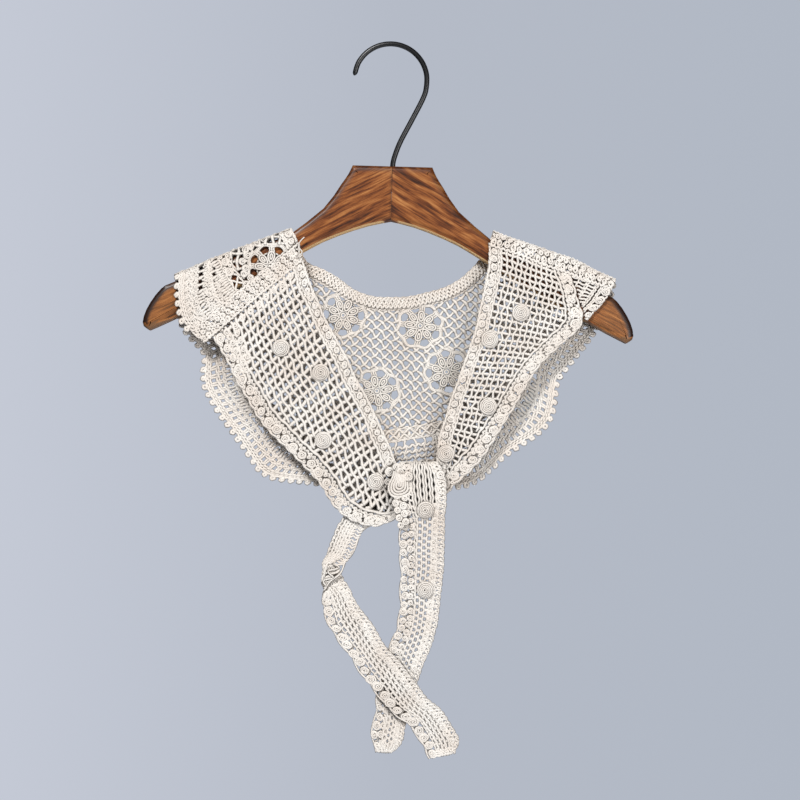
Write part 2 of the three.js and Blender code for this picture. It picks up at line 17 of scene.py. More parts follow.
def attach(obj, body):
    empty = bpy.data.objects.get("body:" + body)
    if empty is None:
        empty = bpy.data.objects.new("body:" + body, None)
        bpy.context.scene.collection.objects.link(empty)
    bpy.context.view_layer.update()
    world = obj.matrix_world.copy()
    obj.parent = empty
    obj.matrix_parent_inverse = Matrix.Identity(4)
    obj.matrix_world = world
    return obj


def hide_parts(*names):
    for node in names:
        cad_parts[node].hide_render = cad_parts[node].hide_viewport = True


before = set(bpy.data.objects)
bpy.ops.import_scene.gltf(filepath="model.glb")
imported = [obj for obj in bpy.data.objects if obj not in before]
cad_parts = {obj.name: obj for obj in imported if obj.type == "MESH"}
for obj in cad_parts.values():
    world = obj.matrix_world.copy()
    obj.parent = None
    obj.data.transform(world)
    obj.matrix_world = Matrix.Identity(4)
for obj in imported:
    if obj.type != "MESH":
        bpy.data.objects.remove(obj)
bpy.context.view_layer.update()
print("nodes in the frame:", len(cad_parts))

# %% [markdown]
# ## Outlines of the cloth
# Each table follows one cloth lengthwise, row by row, in millimetres. They are the rows of the solid model, so that
# the yarn lies exactly where the solids are. The origin is the inside of the hook's top, and the front faces -Y.

# %% Outline of the back: x and z of the neck edge, ring line and hem, then the y of the three
def rows_of(text):
    return [tuple(map(float, line.split())) for line in text.strip().splitlines()]


BACK_ROWS = rows_of("""
-68 -165 -113 -203 -144.5 -229.5 -9 -9 -9
-70.5 -155 -122 -188 -160 -213 -9 -9 -9
-73.5 -147.5 -130 -175.5 -163.5 -193 -8.8 -8.8 -8.8
-76.5 -142 -135 -163.5 -163.5 -175.5 0 0 0
-73 -150 -132.5 -180.5 -164 -196 8.8 8.8 8.8
-68 -162 -131.5 -205.5 -160 -218 8.8 8.8 8.8
-62.5 -167.5 -119 -225.5 -143 -236.5 8.5 8.2 8
-53.5 -171.5 -114.5 -258 -143 -264.5 8.3 7.5 7.5
-41 -179 -98.5 -289 -118.5 -302 8 7 5.5
-28 -187.5 -72 -307.5 -95 -331.5 8 6.5 6
-13 -193 -41 -313 -53.5 -338 8 6 4
1 -194 -11.5 -309 -17 -348 8 5.5 4
14.5 -193 18 -304.5 19.5 -341.5 8 5.5 3.5
28.5 -190 49.5 -298.5 61 -337 8 6 4.5
42.5 -186 73 -287.5 89 -314 8 6.5 5
53.5 -180 91.5 -267.5 120.5 -290.5 8.2 7 7
62.5 -172 107.5 -242.5 128.5 -256 8.5 7.5 6.5
69 -164.5 121.5 -215.5 154 -224 8.8 8.3 8.3
74.5 -154.5 132.5 -190 165.5 -204 8.8 8.8 8.8
79 -143.5 138.5 -164.5 172.5 -181.5 0 0 0
76 -153 138 -176.5 170.5 -188.5 -8.8 -8.8 -8.8
""")
BACK_TOP_ROWS = (3, 19)  # folds over the two arms of the hanger
BACK_NOTCH_ROWS = (6, 8, 10, 12, 14, 16)  # hollows between two scallops of the hem
TAPER_ROWS = rows_of("""
145.1 -194.5 163.5 -199.5 -9 -9
147.6 -205.5 156 -207 -9 -9
148.6 -211.5 151.5 -212.5 -9 -9
""")

# %% Outlines of the fronts and the ties: x and z of both edges, then the y of both
LEFT_FRONT_ROWS = rows_of("""
-67.6 -165.4 -137.6 -225.9 -9 -9
-61 -186 -125.5 -246.5 -9.2 -9
-52 -205.5 -116 -264.5 -9.5 -9
-42 -225.5 -106 -282 -9.8 -9
-31.5 -245 -94.5 -297 -10 -9
-21.5 -264.5 -80.5 -311.5 -10.3 -9
-11.5 -284.5 -66.5 -324.5 -10.6 -9
-2.5 -304.5 -54 -340 -11 -9.2
4 -321.5 -42.5 -357 -11.5 -9.6
7.5 -335.5 -30 -366.5 -12 -10
10 -345 -12.5 -371 -12 -10.8
12.5 -351 4 -365.5 -12 -12
""")
RIGHT_FRONT_ROWS = rows_of("""
76 -153.4 137.6 -176.9 -8.8 -8.8
74.5 -171.5 144.5 -196 -9 -9
69.5 -196 147 -215.5 -9 -9
64 -219.5 131.5 -231 -9 -9
58 -239 117.5 -245 -8.8 -9
52 -256.5 106 -261 -8.5 -8.8
45.5 -273.5 94.5 -280.5 -8 -8.5
41 -289 83.5 -299 -7.5 -8
37 -303 72 -317 -7 -7.5
35.5 -314 58 -331.5 -6.5 -7
35 -324.5 46.5 -341.5 -6 -6.5
35 -334 43.5 -346.5 -5.5 -6
""")
FRONT_TIE_ROWS = rows_of("""
8 -340 32 -340 -2.6 -2.6
7 -328 32.5 -328 -3.1 -3.1
7 -322.5 34.5 -322.5 -10.5 -10.5
4 -326 38.5 -325.5 -18 -18
1.5 -339.5 42 -336.5 -19.5 -19.5
3 -355 42.5 -351 -19.5 -19.5
7 -369.5 42 -368 -17 -17
6 -386 41.5 -386 -14.5 -14.5
7 -403.5 40.5 -403.5 -12 -12.5
7 -422 38.5 -422 -10 -10.5
7 -436 36.5 -439 -9 -9.5
3 -453 32.5 -459.5 -8 -8.5
-2.5 -468.5 25.5 -478 -7.5 -7.5
-7.5 -486.5 18.5 -498 -7 -7
-11.5 -503.5 14 -515 -6.5 -6.5
-13 -518 11.5 -527.5 -6 -6.5
-15.5 -533 8.5 -538.5 -6 -6
-11.5 -545.5 1.5 -545.5 -6 -6
""")
CROSSING_TIE_ROWS = rows_of("""
34.6 -334.6 43.1 -347.1 -5.5 -6
21 -338 26.5 -355.5 -5.2 -5.4
5.5 -340 13 -359.5 -5.2 -5.4
-12.5 -345 0 -362 -5.4 -5.8
-30 -357 -14.5 -369.5 -6 -6.4
-39.5 -368 -21 -374 -6.5 -7
-45.5 -380.5 -26.5 -384.5 -7 -8
-49 -389.5 -31.5 -395 -7 -9.5
-46.5 -394.5 -36.5 -401.5 -6.8 -11
-42.5 -399 -40 -408.5 -6.6 -11.8
-38.5 -405 -47 -415.5 -6.8 -11.8
-35.5 -411.5 -51.5 -422 -7.4 -10.8
-31 -419 -53 -430 -8.4 -10.2
-26.5 -429 -52.5 -433 -9.4 -10.2
-18 -441.5 -48 -447 -10.4 -10.6
-9.5 -454 -39.5 -460 -11.4 -11.4
-1 -466.5 -29.5 -474 -12.2 -12.2
9.5 -478.5 -18.5 -489.5 -12.6 -12.6
20 -492 -7.5 -504.5 -12.6 -12.6
28.5 -503.5 4 -516 -12 -12
38 -512 14.5 -525 -11 -11
46.5 -523 22.5 -537 -10.5 -10.5
52.5 -535 26.5 -544.5 -10.5 -10.5
49.5 -546 30 -550 -10.5 -10.5
""")
# Middle points of the rows where the tie folds over on itself
CROSSING_TIE_MIDDLE = {8: (-50.5, -9, -399), 9: (-51.5, -9.2, -405), 10: (-52, -9.2, -413), 11: (-46.5, -9.2, -419)}

# %% Places of the raised rosettes (x and z), and the real sizes of the braids
ROSETTES = {
    "left": [(-84.5, -233.5), (-54, -252.5), (-52, -304.5), (-11.5, -336.5)],
    "right": [(100, -206.5), (76, -227), (75, -278.5), (42.5, -315)],
    "front_tie": [(26.5, -357.5), (26.5, -419.5)],
    "crossing_tie": [(-32, -443.5)],
}
BRAID_WIDTH = 11.0
BAND_WIDTH, SEAM_GAP = 12.0, 0.6  # ring band on the shoulder seams, and the gap beside it
RING_SHARE = 0.6  # share of the way from the neck to the hem where the ring line lies
ARCH_HALF_DEPTH, ARCH_ROUNDNESS, ARCH_DROP = 8.8, 0.75, 7.0
MM = 0.001

# %% [markdown]
# ## Surfaces
# A surface runs from one edge to the other of its table. Along its length it follows a smooth curve through the
# rows, as a bent strip of card would. At the notches of the hem and at the shoulder seam the curve has a corner.

# %% A smooth curve through the rows of a table
def curve_through(values, corners=()):
    values = np.asarray(values, float)
    last = len(values) - 1
    corner = np.zeros(last + 1, bool)
    corner[list(corners)] = True

    def at(u):
        u = np.asarray(u, float)
        i = np.clip(np.floor(u).astype(int), 0, last - 1)
        t = (u - i)[..., None]
        a, b = values[i], values[i + 1]
        before = np.where(((i > 0) & ~corner[i])[..., None], values[np.maximum(i - 1, 0)], 2 * a - b)
        after = np.where(((i + 2 <= last) & ~corner[i + 1])[..., None], values[np.minimum(i + 2, last)], 2 * b - a)
        slope_a, slope_b = (b - before) / 2, (after - a) / 2
        t2, t3 = t * t, t**3
        return (2 * t3 - 3 * t2 + 1) * a + (t3 - 2 * t2 + t) * slope_a + (3 * t2 - 2 * t3) * b + (t3 - t2) * slope_b

    return at


def unit(vectors):
    return vectors / np.linalg.norm(vectors, axis=-1, keepdims=True)


# %% A cloth between two edges, with points and outward directions
class Cloth:
    def __init__(self, first, second, first_corners=(), second_corners=(), middle=None, outward=1):
        self.rows, self.outward = len(first) - 1, outward
        self.first, self.second = curve_through(first, first_corners), curve_through(second, second_corners)
        self.middle = middle and curve_through(middle)

    def point(self, u, v):
        u, v = np.broadcast_arrays(np.asarray(u, float), np.asarray(v, float))
        a, b = self.first(u), self.second(u)
        m = self.middle(u) if self.middle else (a + b) / 2
        v = v[..., None]
        return a * (1 - v) * (1 - 2 * v) + 4 * m * v * (1 - v) + b * v * (2 * v - 1)

    def normal(self, u, v):
        small = 0.02
        along = self.point(u + small, v) - self.point(u - small, v)
        across = self.point(u, v + small) - self.point(u, v - small)
        return unit(np.cross(along, across) * self.outward)

    def safe_normal(self, u, v):
        """The normal a little inside the ends, where the curves are sure."""
        return self.normal(np.clip(u, 0.03, self.rows - 0.03), np.clip(v, 0.0, 1.0))


def edges_of(rows):
    return [(r[0], r[4], r[1]) for r in rows], [(r[2], r[5], r[3]) for r in rows]


left_front = Cloth(*edges_of(LEFT_FRONT_ROWS), outward=-1)
right_front = Cloth(*edges_of(RIGHT_FRONT_ROWS))
front_tie = Cloth(*edges_of(FRONT_TIE_ROWS))
tie_edges = edges_of(CROSSING_TIE_ROWS)
tie_middle = [CROSSING_TIE_MIDDLE.get(i, tuple(np.add(a, b) / 2)) for i, (a, b) in enumerate(zip(*tie_edges))]
crossing_tie = Cloth(*tie_edges, middle=tie_middle)
print("rows of the fronts:", left_front.rows, right_front.rows)

# %% [markdown]
# The back goes over both arms of the hanger. A row marked as a fold becomes five rows on a rounded arch, so that the
# cloth lies round the wood and doesn't bend there like folded paper.

# %% The back, its edging, and both as one cloth
def with_arches(rows):
    out = []
    for i, row in enumerate(rows):
        if i not in BACK_TOP_ROWS:
            out.append(row)
            continue
        for degrees in (-60, -30, 0, 30, 60):
            angle = math.radians(degrees)
            side = np.sign(degrees) * (1 if rows[i - 1][6] < 0 else -1)
            neighbour = rows[i - 1] if degrees < 0 else rows[i + 1]
            drop = 1 - math.cos(angle) ** ARCH_ROUNDNESS
            depth = side * ARCH_HALF_DEPTH * abs(math.sin(angle)) ** ARCH_ROUNDNESS
            made = []
            for edge in (0, 2, 4):
                height = row[edge + 1] - neighbour[edge + 1]
                share = drop * min(ARCH_DROP, 0.8 * height) / height
                made += [row[edge] + (neighbour[edge] - row[edge]) * share, row[edge + 1] - height * share]
            out.append((*made, depth, depth, depth))
    return out


back_table = with_arches(BACK_ROWS)
neck_edge, ring_line, hem = ([(r[k], r[6 + k // 2], r[k + 1]) for r in back_table] for k in (0, 2, 4))
LEFT_FOLD, RIGHT_FOLD = 5, 25  # rows on top of the two arches
notches = [row + 4 for row in BACK_NOTCH_ROWS]  # after the four rows that the left arch adds
taper_ring, taper_hem = edges_of(TAPER_ROWS)
seam_corner = (len(back_table) - 1,)
back = Cloth(neck_edge, ring_line, first_corners=seam_corner)
edging = Cloth(ring_line + taper_ring, hem + taper_hem, seam_corner, notches)


class BackToHem(Cloth):
    def __init__(self):
        self.rows, self.outward = back.rows, 1

    def point(self, u, v):
        u, v = np.broadcast_arrays(np.asarray(u, float), np.asarray(v, float))
        inner, outer = back.point(u, v / RING_SHARE), edging.point(u, (v - RING_SHARE) / (1 - RING_SHARE))
        return np.where((v < RING_SHARE)[..., None], inner, outer)


back_to_hem = BackToHem()
print("rows of the back:", back.rows, "and of its edging:", edging.rows)

# %% [markdown]
# ## Panels
# A stitch is placed by how many millimetres it lies along a panel and aside of a line on it, and how far it stands up
# from it. That keeps the rings round and the holes even, however the cloth widens or bends.

# %% A panel, which measures a part of a cloth
def lerp(a, b, t):
    return a + (b - a) * t


class Panel:
    def __init__(self, cloth, chart, guide=0.5, samples=700):
        self.cloth, self.chart = cloth, chart
        self.at = np.linspace(0, 1, samples)
        line = cloth.point(*chart(self.at, np.full(samples, float(guide))))
        steps = np.linalg.norm(np.diff(line, axis=0), axis=1)
        self.walked = np.concatenate([[0], np.cumsum(steps)])
        self.length = self.walked[-1]
        across = np.stack([cloth.point(*chart(self.at, np.full(samples, b))) for b in np.linspace(0, 1, 9)])
        self.widths = np.maximum(np.linalg.norm(np.diff(across, axis=0), axis=-1).sum(axis=0), 0.5)

    def width(self, s):
        return np.interp(s, self.walked, self.widths)

    def place(self, s, across, aside=0.0, up=0.0):
        s, across, aside, up = np.broadcast_arrays(*(np.asarray(x, float) for x in (s, across, aside, up)))
        a = np.interp(s, self.walked, self.at)
        u, v = self.chart(a, across + aside / np.interp(a, self.at, self.widths))
        normal = self.cloth.safe_normal(u, v)
        return self.cloth.point(u, v) + up[..., None] * normal, normal

    def area(self):
        a, b = np.meshgrid(np.linspace(0, 1, 240), np.linspace(0, 1, 12), indexing="ij")
        p = self.cloth.point(*self.chart(a, b))
        cells = np.cross(p[1:, :-1] - p[:-1, :-1], p[:-1, 1:] - p[:-1, :-1])
        return np.linalg.norm(cells, axis=-1).sum()


# %% Charts that run along a whole cloth, and the share of its width that a strip of given millimetres takes
def none(u):
    return 0.0 * u


def whole(u):
    return 0.0 * u + 1


def along(cloth, low=none, high=whole, start=0.0):
    def chart(a, b):
        u = lerp(start, cloth.rows, a)
        return u, lerp(low(u), high(u), b)

    return chart


def share_of(cloth, millimetres, most=1.0):
    return lambda u: np.minimum(millimetres / np.linalg.norm(cloth.point(u, 1.0) - cloth.point(u, 0.0), axis=-1), most)


# %% Rows at a distance from a shoulder seam, measured square to it
def row_from_seam(cloth, v, distance, right):
    seam_row = back.rows if right else 0
    seam = unit(back_to_hem.point(seam_row, 1.0) - back_to_hem.point(seam_row, 0.0))
    v = np.atleast_1d(np.asarray(v, float))
    step = -0.02 if right else 0.02
    u, walked = np.full(v.shape, float(seam_row)), np.zeros(v.shape)
    while (walked < distance).any():
        move = cloth.point(u + step, v) - cloth.point(u, v)
        square = move - (move @ seam)[..., None] * seam
        going = walked < distance
        walked = np.where(going, walked + np.linalg.norm(square, axis=-1), walked)
        u = np.where(going, u + step, u)
    return u


def rows_between_seams(cloth, distance):
    """First and last row of a strip of the back at each v, as functions of v."""
    v = np.linspace(-0.2, 1.2, 57)
    first, last = (row_from_seam(cloth, v, distance, right) for right in (False, True))
    return lambda w: np.interp(w, v, first), lambda w: np.interp(w, v, last)


FIRST_SHOULDER, LAST_SHOULDER = 2, back.rows - 6  # rows are straight between these
LEFT_END, RIGHT_END = 0.05, 0.9  # where the chart of a strip reaches them


def across_back(cloth, low, high, distance=BAND_WIDTH + SEAM_GAP):
    """Chart of a strip of the back from one seam band to the other, with straight rows between the shoulders."""
    first, last = rows_between_seams(cloth, distance)

    def chart(a, b):
        straight = u = FIRST_SHOULDER + (LAST_SHOULDER - FIRST_SHOULDER) * (a - LEFT_END) / (RIGHT_END - LEFT_END)
        for _ in range(2):
            v = lerp(low(u), high(u), b)
            u = np.where(a < LEFT_END, lerp(first(v), FIRST_SHOULDER, a / LEFT_END), straight)
            u = np.where(a > RIGHT_END, lerp(LAST_SHOULDER, last(v), (a - RIGHT_END) / (1 - RIGHT_END)), u)
        return u, lerp(low(u), high(u), b)

    return chart


back_braid = share_of(back, BRAID_WIDTH)


def before_braid(u):
    return 1 - back_braid(u)


# %% [markdown]
# ## Yarn
# The collar is worked with a cotton yarn about 1.7 mm thick. A strand is a row of points with a thickness at each.
# Blender turns such rows into round tubes when a curve is given a bevel, and the curve is then converted to a mesh.
# Hand work is never even, so a slow wave moves neighbouring stitches together, and each strand swells a little at
# its knots.

# %% Unevenness of hand work, the same on every run
YARN = 0.86  # radius
STEP = 1.15  # distance between the points of a strand
WAVE_LENGTHS = np.repeat([9.0, 17.0, 34.0], 3)[:, None]
dice = np.random.default_rng(7)
waves = dice.normal(size=(9, 3)) * 2 * np.pi / WAVE_LENGTHS / 1.7
starts = dice.uniform(0, 2 * np.pi, 9)
pulls = dice.normal(size=(9, 3)) * [1.0, 0.35, 1.0] / 3


def uneven(points, amount):
    return points + amount * np.sin(points @ waves.T + starts) @ pulls


def strand(panel, s, across=0.0, aside=0.0, up=0.0, radius=YARN, closed=False, amount=0.55):
    s, across, aside, up, radius = np.broadcast_arrays(*(np.asarray(x, float) for x in (s, across, aside, up, radius)))
    points, normal = panel.place(s, across, aside, up)
    return uneven(points, amount), radius.copy(), closed, normal


# %% Runs, chains, rings and bars
def spots(end, pitch, shift=0.5, start=0.0):
    """Number and place of each stitch of a row."""
    return [(k, start + pitch * (k + shift)) for k in range(int((end - start) / pitch))]


def run(panel, start, end, across=0.0, aside=0.0, up=0.0, sway=0.0, pitch=6.0, turn=0.0, lift=0.0, radius=YARN,
        step=STEP):
    """A strand lengthwise, which sways to both sides once in each pitch and lifts as it goes."""
    s = np.linspace(start, end, max(4, int((end - start) / step) + 1))
    phase = 2 * np.pi * s / pitch + turn
    line = aside(s) if callable(aside) else aside
    return strand(panel, s, across, line + sway * np.sin(phase), up + lift * np.cos(phase),
                  radius * (1 + 0.15 * np.cos(2 * phase)))


def stitches(panel, across, low, high, pitch=3.5, up=0.2, radius=0.72):
    """A row of V stitches between two lines, as one zigzag."""
    return runs(panel, (across, (low + high) / 2, up, (high - low) / 2, pitch, 0.7 * low, 0.35, radius, 0.8))


def runs(panel, *rows):
    """Strands over the whole length. Each row says across, aside, up, sway, pitch, turn, lift, radius and step."""
    return [run(panel, 0.0, panel.length, *row) for row in rows]


def ring(panel, s, aside, size, across=0.0, up=0.0, radius=YARN, lumps=8, turn=0.0):
    """A closed round, with a lump at each stitch."""
    points = max(9, int(2 * np.pi * size / STEP) + 1)
    angle = np.arange(points) * 2 * np.pi / points + turn
    reach = size * (1 + 0.05 * np.cos(lumps * angle))
    swell = radius * (1 + 0.1 * np.cos(lumps * angle))
    return strand(panel, s + reach * np.cos(angle), across, aside + reach * np.sin(angle), up, swell, True)


ROUND_TO_ROUND = 1.35  # mm from one round of a wound ring to the next


def spiral(size, turn=0.0):
    """Offsets along and aside, height and thickness of a small round that is wound from its rim to its middle."""
    angle, reach = [0.0], [size]
    while reach[-1] > 0.4:
        angle.append(angle[-1] + 1.2 / max(reach[-1], 1.0))
        reach.append(size - ROUND_TO_ROUND * max(0.0, angle[-1] / 2 / np.pi - 0.8))
    angle, reach = np.array(angle), np.array(reach)
    up = 0.4 * (1 - reach / size)
    up[0] = -0.6
    reach = reach * (1 + 0.05 * np.cos(5 * angle + turn))
    swell = 0.84 * (1 + 0.12 * np.cos(5 * angle + 2 * turn))
    return reach * np.cos(angle + turn), reach * np.sin(angle + turn), up, swell


def snail(panel, s, aside, size, across=0.0, up=0.0, turn=0.0, face=1):
    along, aslant, rise, swell = spiral(size, turn)
    return strand(panel, s + along, across, aside + aslant, face * (up + rise), swell)


def bar(panel, s0, aside0, s1, aside1, across=0.0, up=0.0, bend=0.0, radius=YARN, points=5, across_end=None):
    """A short strand from one place to another, bowed aside and raised in its middle."""
    t = np.linspace(0, 1, points)
    bow = np.sin(np.pi * t)
    run_across = across if across_end is None else lerp(across, across_end, t)
    return strand(panel, lerp(s0, s1, t) + bend * bow, run_across, lerp(aside0, aside1, t), up + 0.25 * bow, radius)


def spans(inside):
    """First and last point of each run for which a test says yes."""
    changes = np.flatnonzero(np.diff(np.concatenate([[0], inside.astype(int), [0]])))
    return zip(changes[::2], changes[1::2])


# %% [markdown]
# A strand has more light on its front and back than on its flanks, which lie close to other strands. So each piece
# keeps, as an attribute, which way the cloth faces at each of its corners, and the finish paints shade on the flanks
# by it.


def new_object(name, data):
    made = bpy.data.objects.new(name, data)
    bpy.context.scene.collection.objects.link(made)
    return made


def make_piece(name, strands, sides=1):
    curve = bpy.data.curves.new(name, "CURVE")
    curve.dimensions, curve.use_fill_caps = "3D", True
    curve.bevel_depth, curve.bevel_resolution = MM, sides
    around = 2 * (sides + 2)
    lengths, tubes, caps = [], [], []
    for points, radii, closed, *normal in strands:
        spline = curve.splines.new("POLY")
        spline.points.add(len(points) - 1)
        spline.points.foreach_set("co", np.c_[points * MM, np.ones(len(points))].astype(np.float32).ravel())
        spline.points.foreach_set("radius", radii.astype(np.float32))
        spline.use_cyclic_u = bool(closed)
        steps = np.linalg.norm(np.diff(points, axis=0, append=points[:1]), axis=1)
        lengths.append(steps.sum() if closed else steps[:-1].sum())
        ways = normal[0] if normal else np.tile([0.0, -1.0, 0.0], (len(points), 1))
        corners = np.c_[ways, np.full(len(points), lengths[-1])]
        tubes.append(np.repeat(corners, around, axis=0))
        if not closed:
            caps.append(np.repeat(corners[[-1, 0]], around, axis=0))
    maker = new_object(name + "_curve", curve)
    bpy.context.view_layer.update()
    mesh = bpy.data.meshes.new_from_object(maker.evaluated_get(bpy.context.evaluated_depsgraph_get()))
    bpy.data.objects.remove(maker)
    bpy.data.curves.remove(curve)
    mesh.name = name
    # Blender lists the corners of the end caps first, from the last open strand to the first, and then the tubes.
    corners = np.concatenate(caps[::-1] + tubes)
    uv, vertex = np.zeros(len(mesh.loops) * 2, np.float32), np.zeros(len(mesh.loops), np.int32)
    mesh.uv_layers[0].data.foreach_get("uv", uv)
    mesh.loops.foreach_get("vertex_index", vertex)
    uv[::2] *= corners[vertex, 3]
    mesh.uv_layers[0].data.foreach_set("uv", uv)
    mesh.attributes.new("facing", "FLOAT_VECTOR", "POINT").data.foreach_set("vector", corners[:, :3].ravel())
    shape = bmesh.new()
    shape.from_mesh(mesh)
    bmesh.ops.remove_doubles(shape, verts=shape.verts, dist=1e-7)
    shape.to_mesh(mesh)
    shape.free()
    triangles = sum(len(p.vertices) - 2 for p in mesh.polygons)
    print(f"{name}: {len(strands)} strands, {sum(lengths) / 1000:.1f} m of yarn, {triangles} triangles")
    return new_object(name, mesh)


cloth_pieces = {}  # by solid: two pieces, the panel they lie on, their finishes, and what they rest on


def add_cloth(node, panel, strands, looks=("close", "close"), rests_on=("board_left", "board_right"), second="rings"):
    """Two pieces: the ground of the work, and what is raised on it."""
    names = f"crochet_{node}", f"crochet_{node}_{second}"
    cloth_pieces[node] = [make_piece(*both) for both in zip(names, strands)], panel, looks, list(rests_on)


# %% [markdown]
# ## Ring braids
# The edges of the collar are braids with a row of small rings, worked round and round, between two swaying strands.
# A zigzag lies under the rings and fills the gaps between them, so that hardly any light comes through.

# %% One row of rings, each wound like a small snail and no two quite alike
def ring_row(panel, aside, size, pitch, start=0.0, end=None, across=0.0, up=0.5, turn=0.5, face=1):
    end = panel.length if end is None else end
    count = max(1, int(round((end - start) / pitch)))
    pitch = (end - start) / count
    out = []
    for k in range(count):
        wide = size * (1 + 0.1 * math.sin(2.3 * k + aside) + 0.06 * math.sin(5.1 * k))
        s = start + pitch * (k + turn) + 0.5 * math.sin(3.7 * k + size)
        nudge = 0.5 * math.sin(1.7 * k + 2 * aside)
        out.append(snail(panel, s, aside + nudge, wide, across, up, 0.9 * k, face))
    return out, pitch


def ring_braid(panel, rings, size, pitch, near, far, across=0.0, side=1, bare=0.0):
    """Rings at so many mm from a line, between V stitches, with a chain on the near side and a wave on the far.
    side is 1 where the braid grows to positive aside from the line. The first bare mm have no rings."""
    raised, pitch = ring_row(panel, side * rings, size, pitch, bare, across=across)
    ground, hug = [], size + 1.1
    for way in (-1, 1):
        ground += runs(
            panel,
            (across, side * (rings + way * hug), 0.1, -side * way * 0.5, pitch, -1.5 * np.pi, 0.3),
            (across, side * (rings + way * hug * 0.5), -0.5, way * size * 0.55, pitch, -np.pi, 0.2, 0.9))
    for k, s in spots(panel.length, pitch, 1.0) if size > 2.5 else ():
        for way in (-1, 1):
            raised.append(ring(panel, bare + s + 0.3 * math.sin(2.9 * k + way), side * (rings + way * hug * 0.62),
                               0.95, across, 0.55, 0.8, 5, k))
    low, high = rings - hug - 0.3, rings + hug + 0.3
    for inner, outer in ((min(near, far), low), (high, max(near, far))):
        if outer - inner > 0.9:
            raised += stitches(panel, across, side * inner, side * outer)
    # A chain is two strands that cross each other.
    raised += runs(panel, *((across, side * near, 0.0, 0.55, 7.2, turn, 0.4, 0.66) for turn in (0, np.pi)))
    return ground + runs(panel, (across, side * far, 0.0, 0.45, pitch, -0.5 * np.pi, 0.25, 0.8)), raised


# %% Rows of rings at a place, for seam bands
def ring_band(panel, places, size, pitch):
    ground, raised = [], []
    for row, aside in enumerate(places):
        rings, p = ring_row(panel, aside, size, pitch, turn=0.5 + 0.37 * row)
        raised += rings
        ground += runs(panel, (0.0, aside, -0.6, size * 1.05, p, row, 0.2, 0.95))
    for aside in (-0.1, BAND_WIDTH + 0.1):  # over the joints to the pieces beside it
        raised += runs(panel, (0.0, aside, 0.45, 0.6, 3.4, aside, 0.35, 1.15))
    return ground, raised


# %% [markdown]
# ## Filet net of the fronts
# Each front is a net of long strands with a bar between neighbours at every row. The strands lean to and fro from
# row to row, because each bar pulls two of them together. They run parallel to the neck edge, so the outer ones end
# at the outer braid where the front gets narrower.

# %% A filet net: the long strands, and the bars between them
NET_YARN = 1.56  # the long strands are worked double and come out thicker
CLOSE_STRANDS = (0.2, 3.1)  # mm from the outer braid


def filet_net(panel, pitch, row, sway=0.5, radius=NET_YARN):
    long, bars = [], []
    rows = max(2, int(round(panel.length / row)))
    row = panel.length / rows
    room = CLOSE_STRANDS[1] + 0.55 * pitch

    def place(k, s):
        phase = np.pi * s / row
        wave = np.sin(phase + np.pi * k) + 0.55 * np.sin(0.62 * phase + 2.1 * k)
        return pitch * k + (sway * wave if k else 0.4 * np.sin(2 * phase) - 0.4)

    s = np.linspace(0, panel.length, int(panel.length / STEP) + 1)
    knots = 0.2 * np.cos(2 * np.pi * s / row)
    for k in range(int(panel.widths.max() / pitch) + 1):
        for first, last in spans(pitch * k < panel.width(s) - room):
            if last - first > 4:
                part = slice(first, last)
                long.append(strand(panel, s[part], 0.0, place(k, s[part]), 0.35 + knots[part],
                                   radius * (1 - knots[part]), amount=0.7))
    long += runs(panel, (1.0, -CLOSE_STRANDS[0], 0.3, 1.1, 3.6, 0.0, 0.3, 1.0, 0.9),
                 (1.0, -CLOSE_STRANDS[1], 0.2, 0.4, 2 * row, 1.0, 0.2, radius))
    for i in range(rows):
        middle = row * (i + 0.5 + 0.1 * math.sin(3.1 * i))
        width = float(panel.width(middle))
        for k in range(int(max(0.0, width - room) / pitch) + 1):
            slip = row * (0.09 * (1 if (i + k) % 2 else -1) + 0.07 * math.sin(1.9 * i + 2.7 * k))
            far = float(place(k + 1, middle)) if pitch * (k + 1) < width - room else width - CLOSE_STRANDS[1]
            bars.append(bar(panel, middle - slip, float(place(k, middle)), middle + slip, far, 0.0, -0.1, 0.3,
                            radius * 0.95))
    return long, bars


# %% [markdown]
# ## Diamond net and flower wheels of the back
# The back is a net worked on the slant, with flower wheels set into it. It was made flat and then bent round the
# neck, so the strands are drawn on the flat cloth and each point is looked up on the bent one. The parts of the cloth
# that go over the arms of the hanger are unfolded upwards for this.

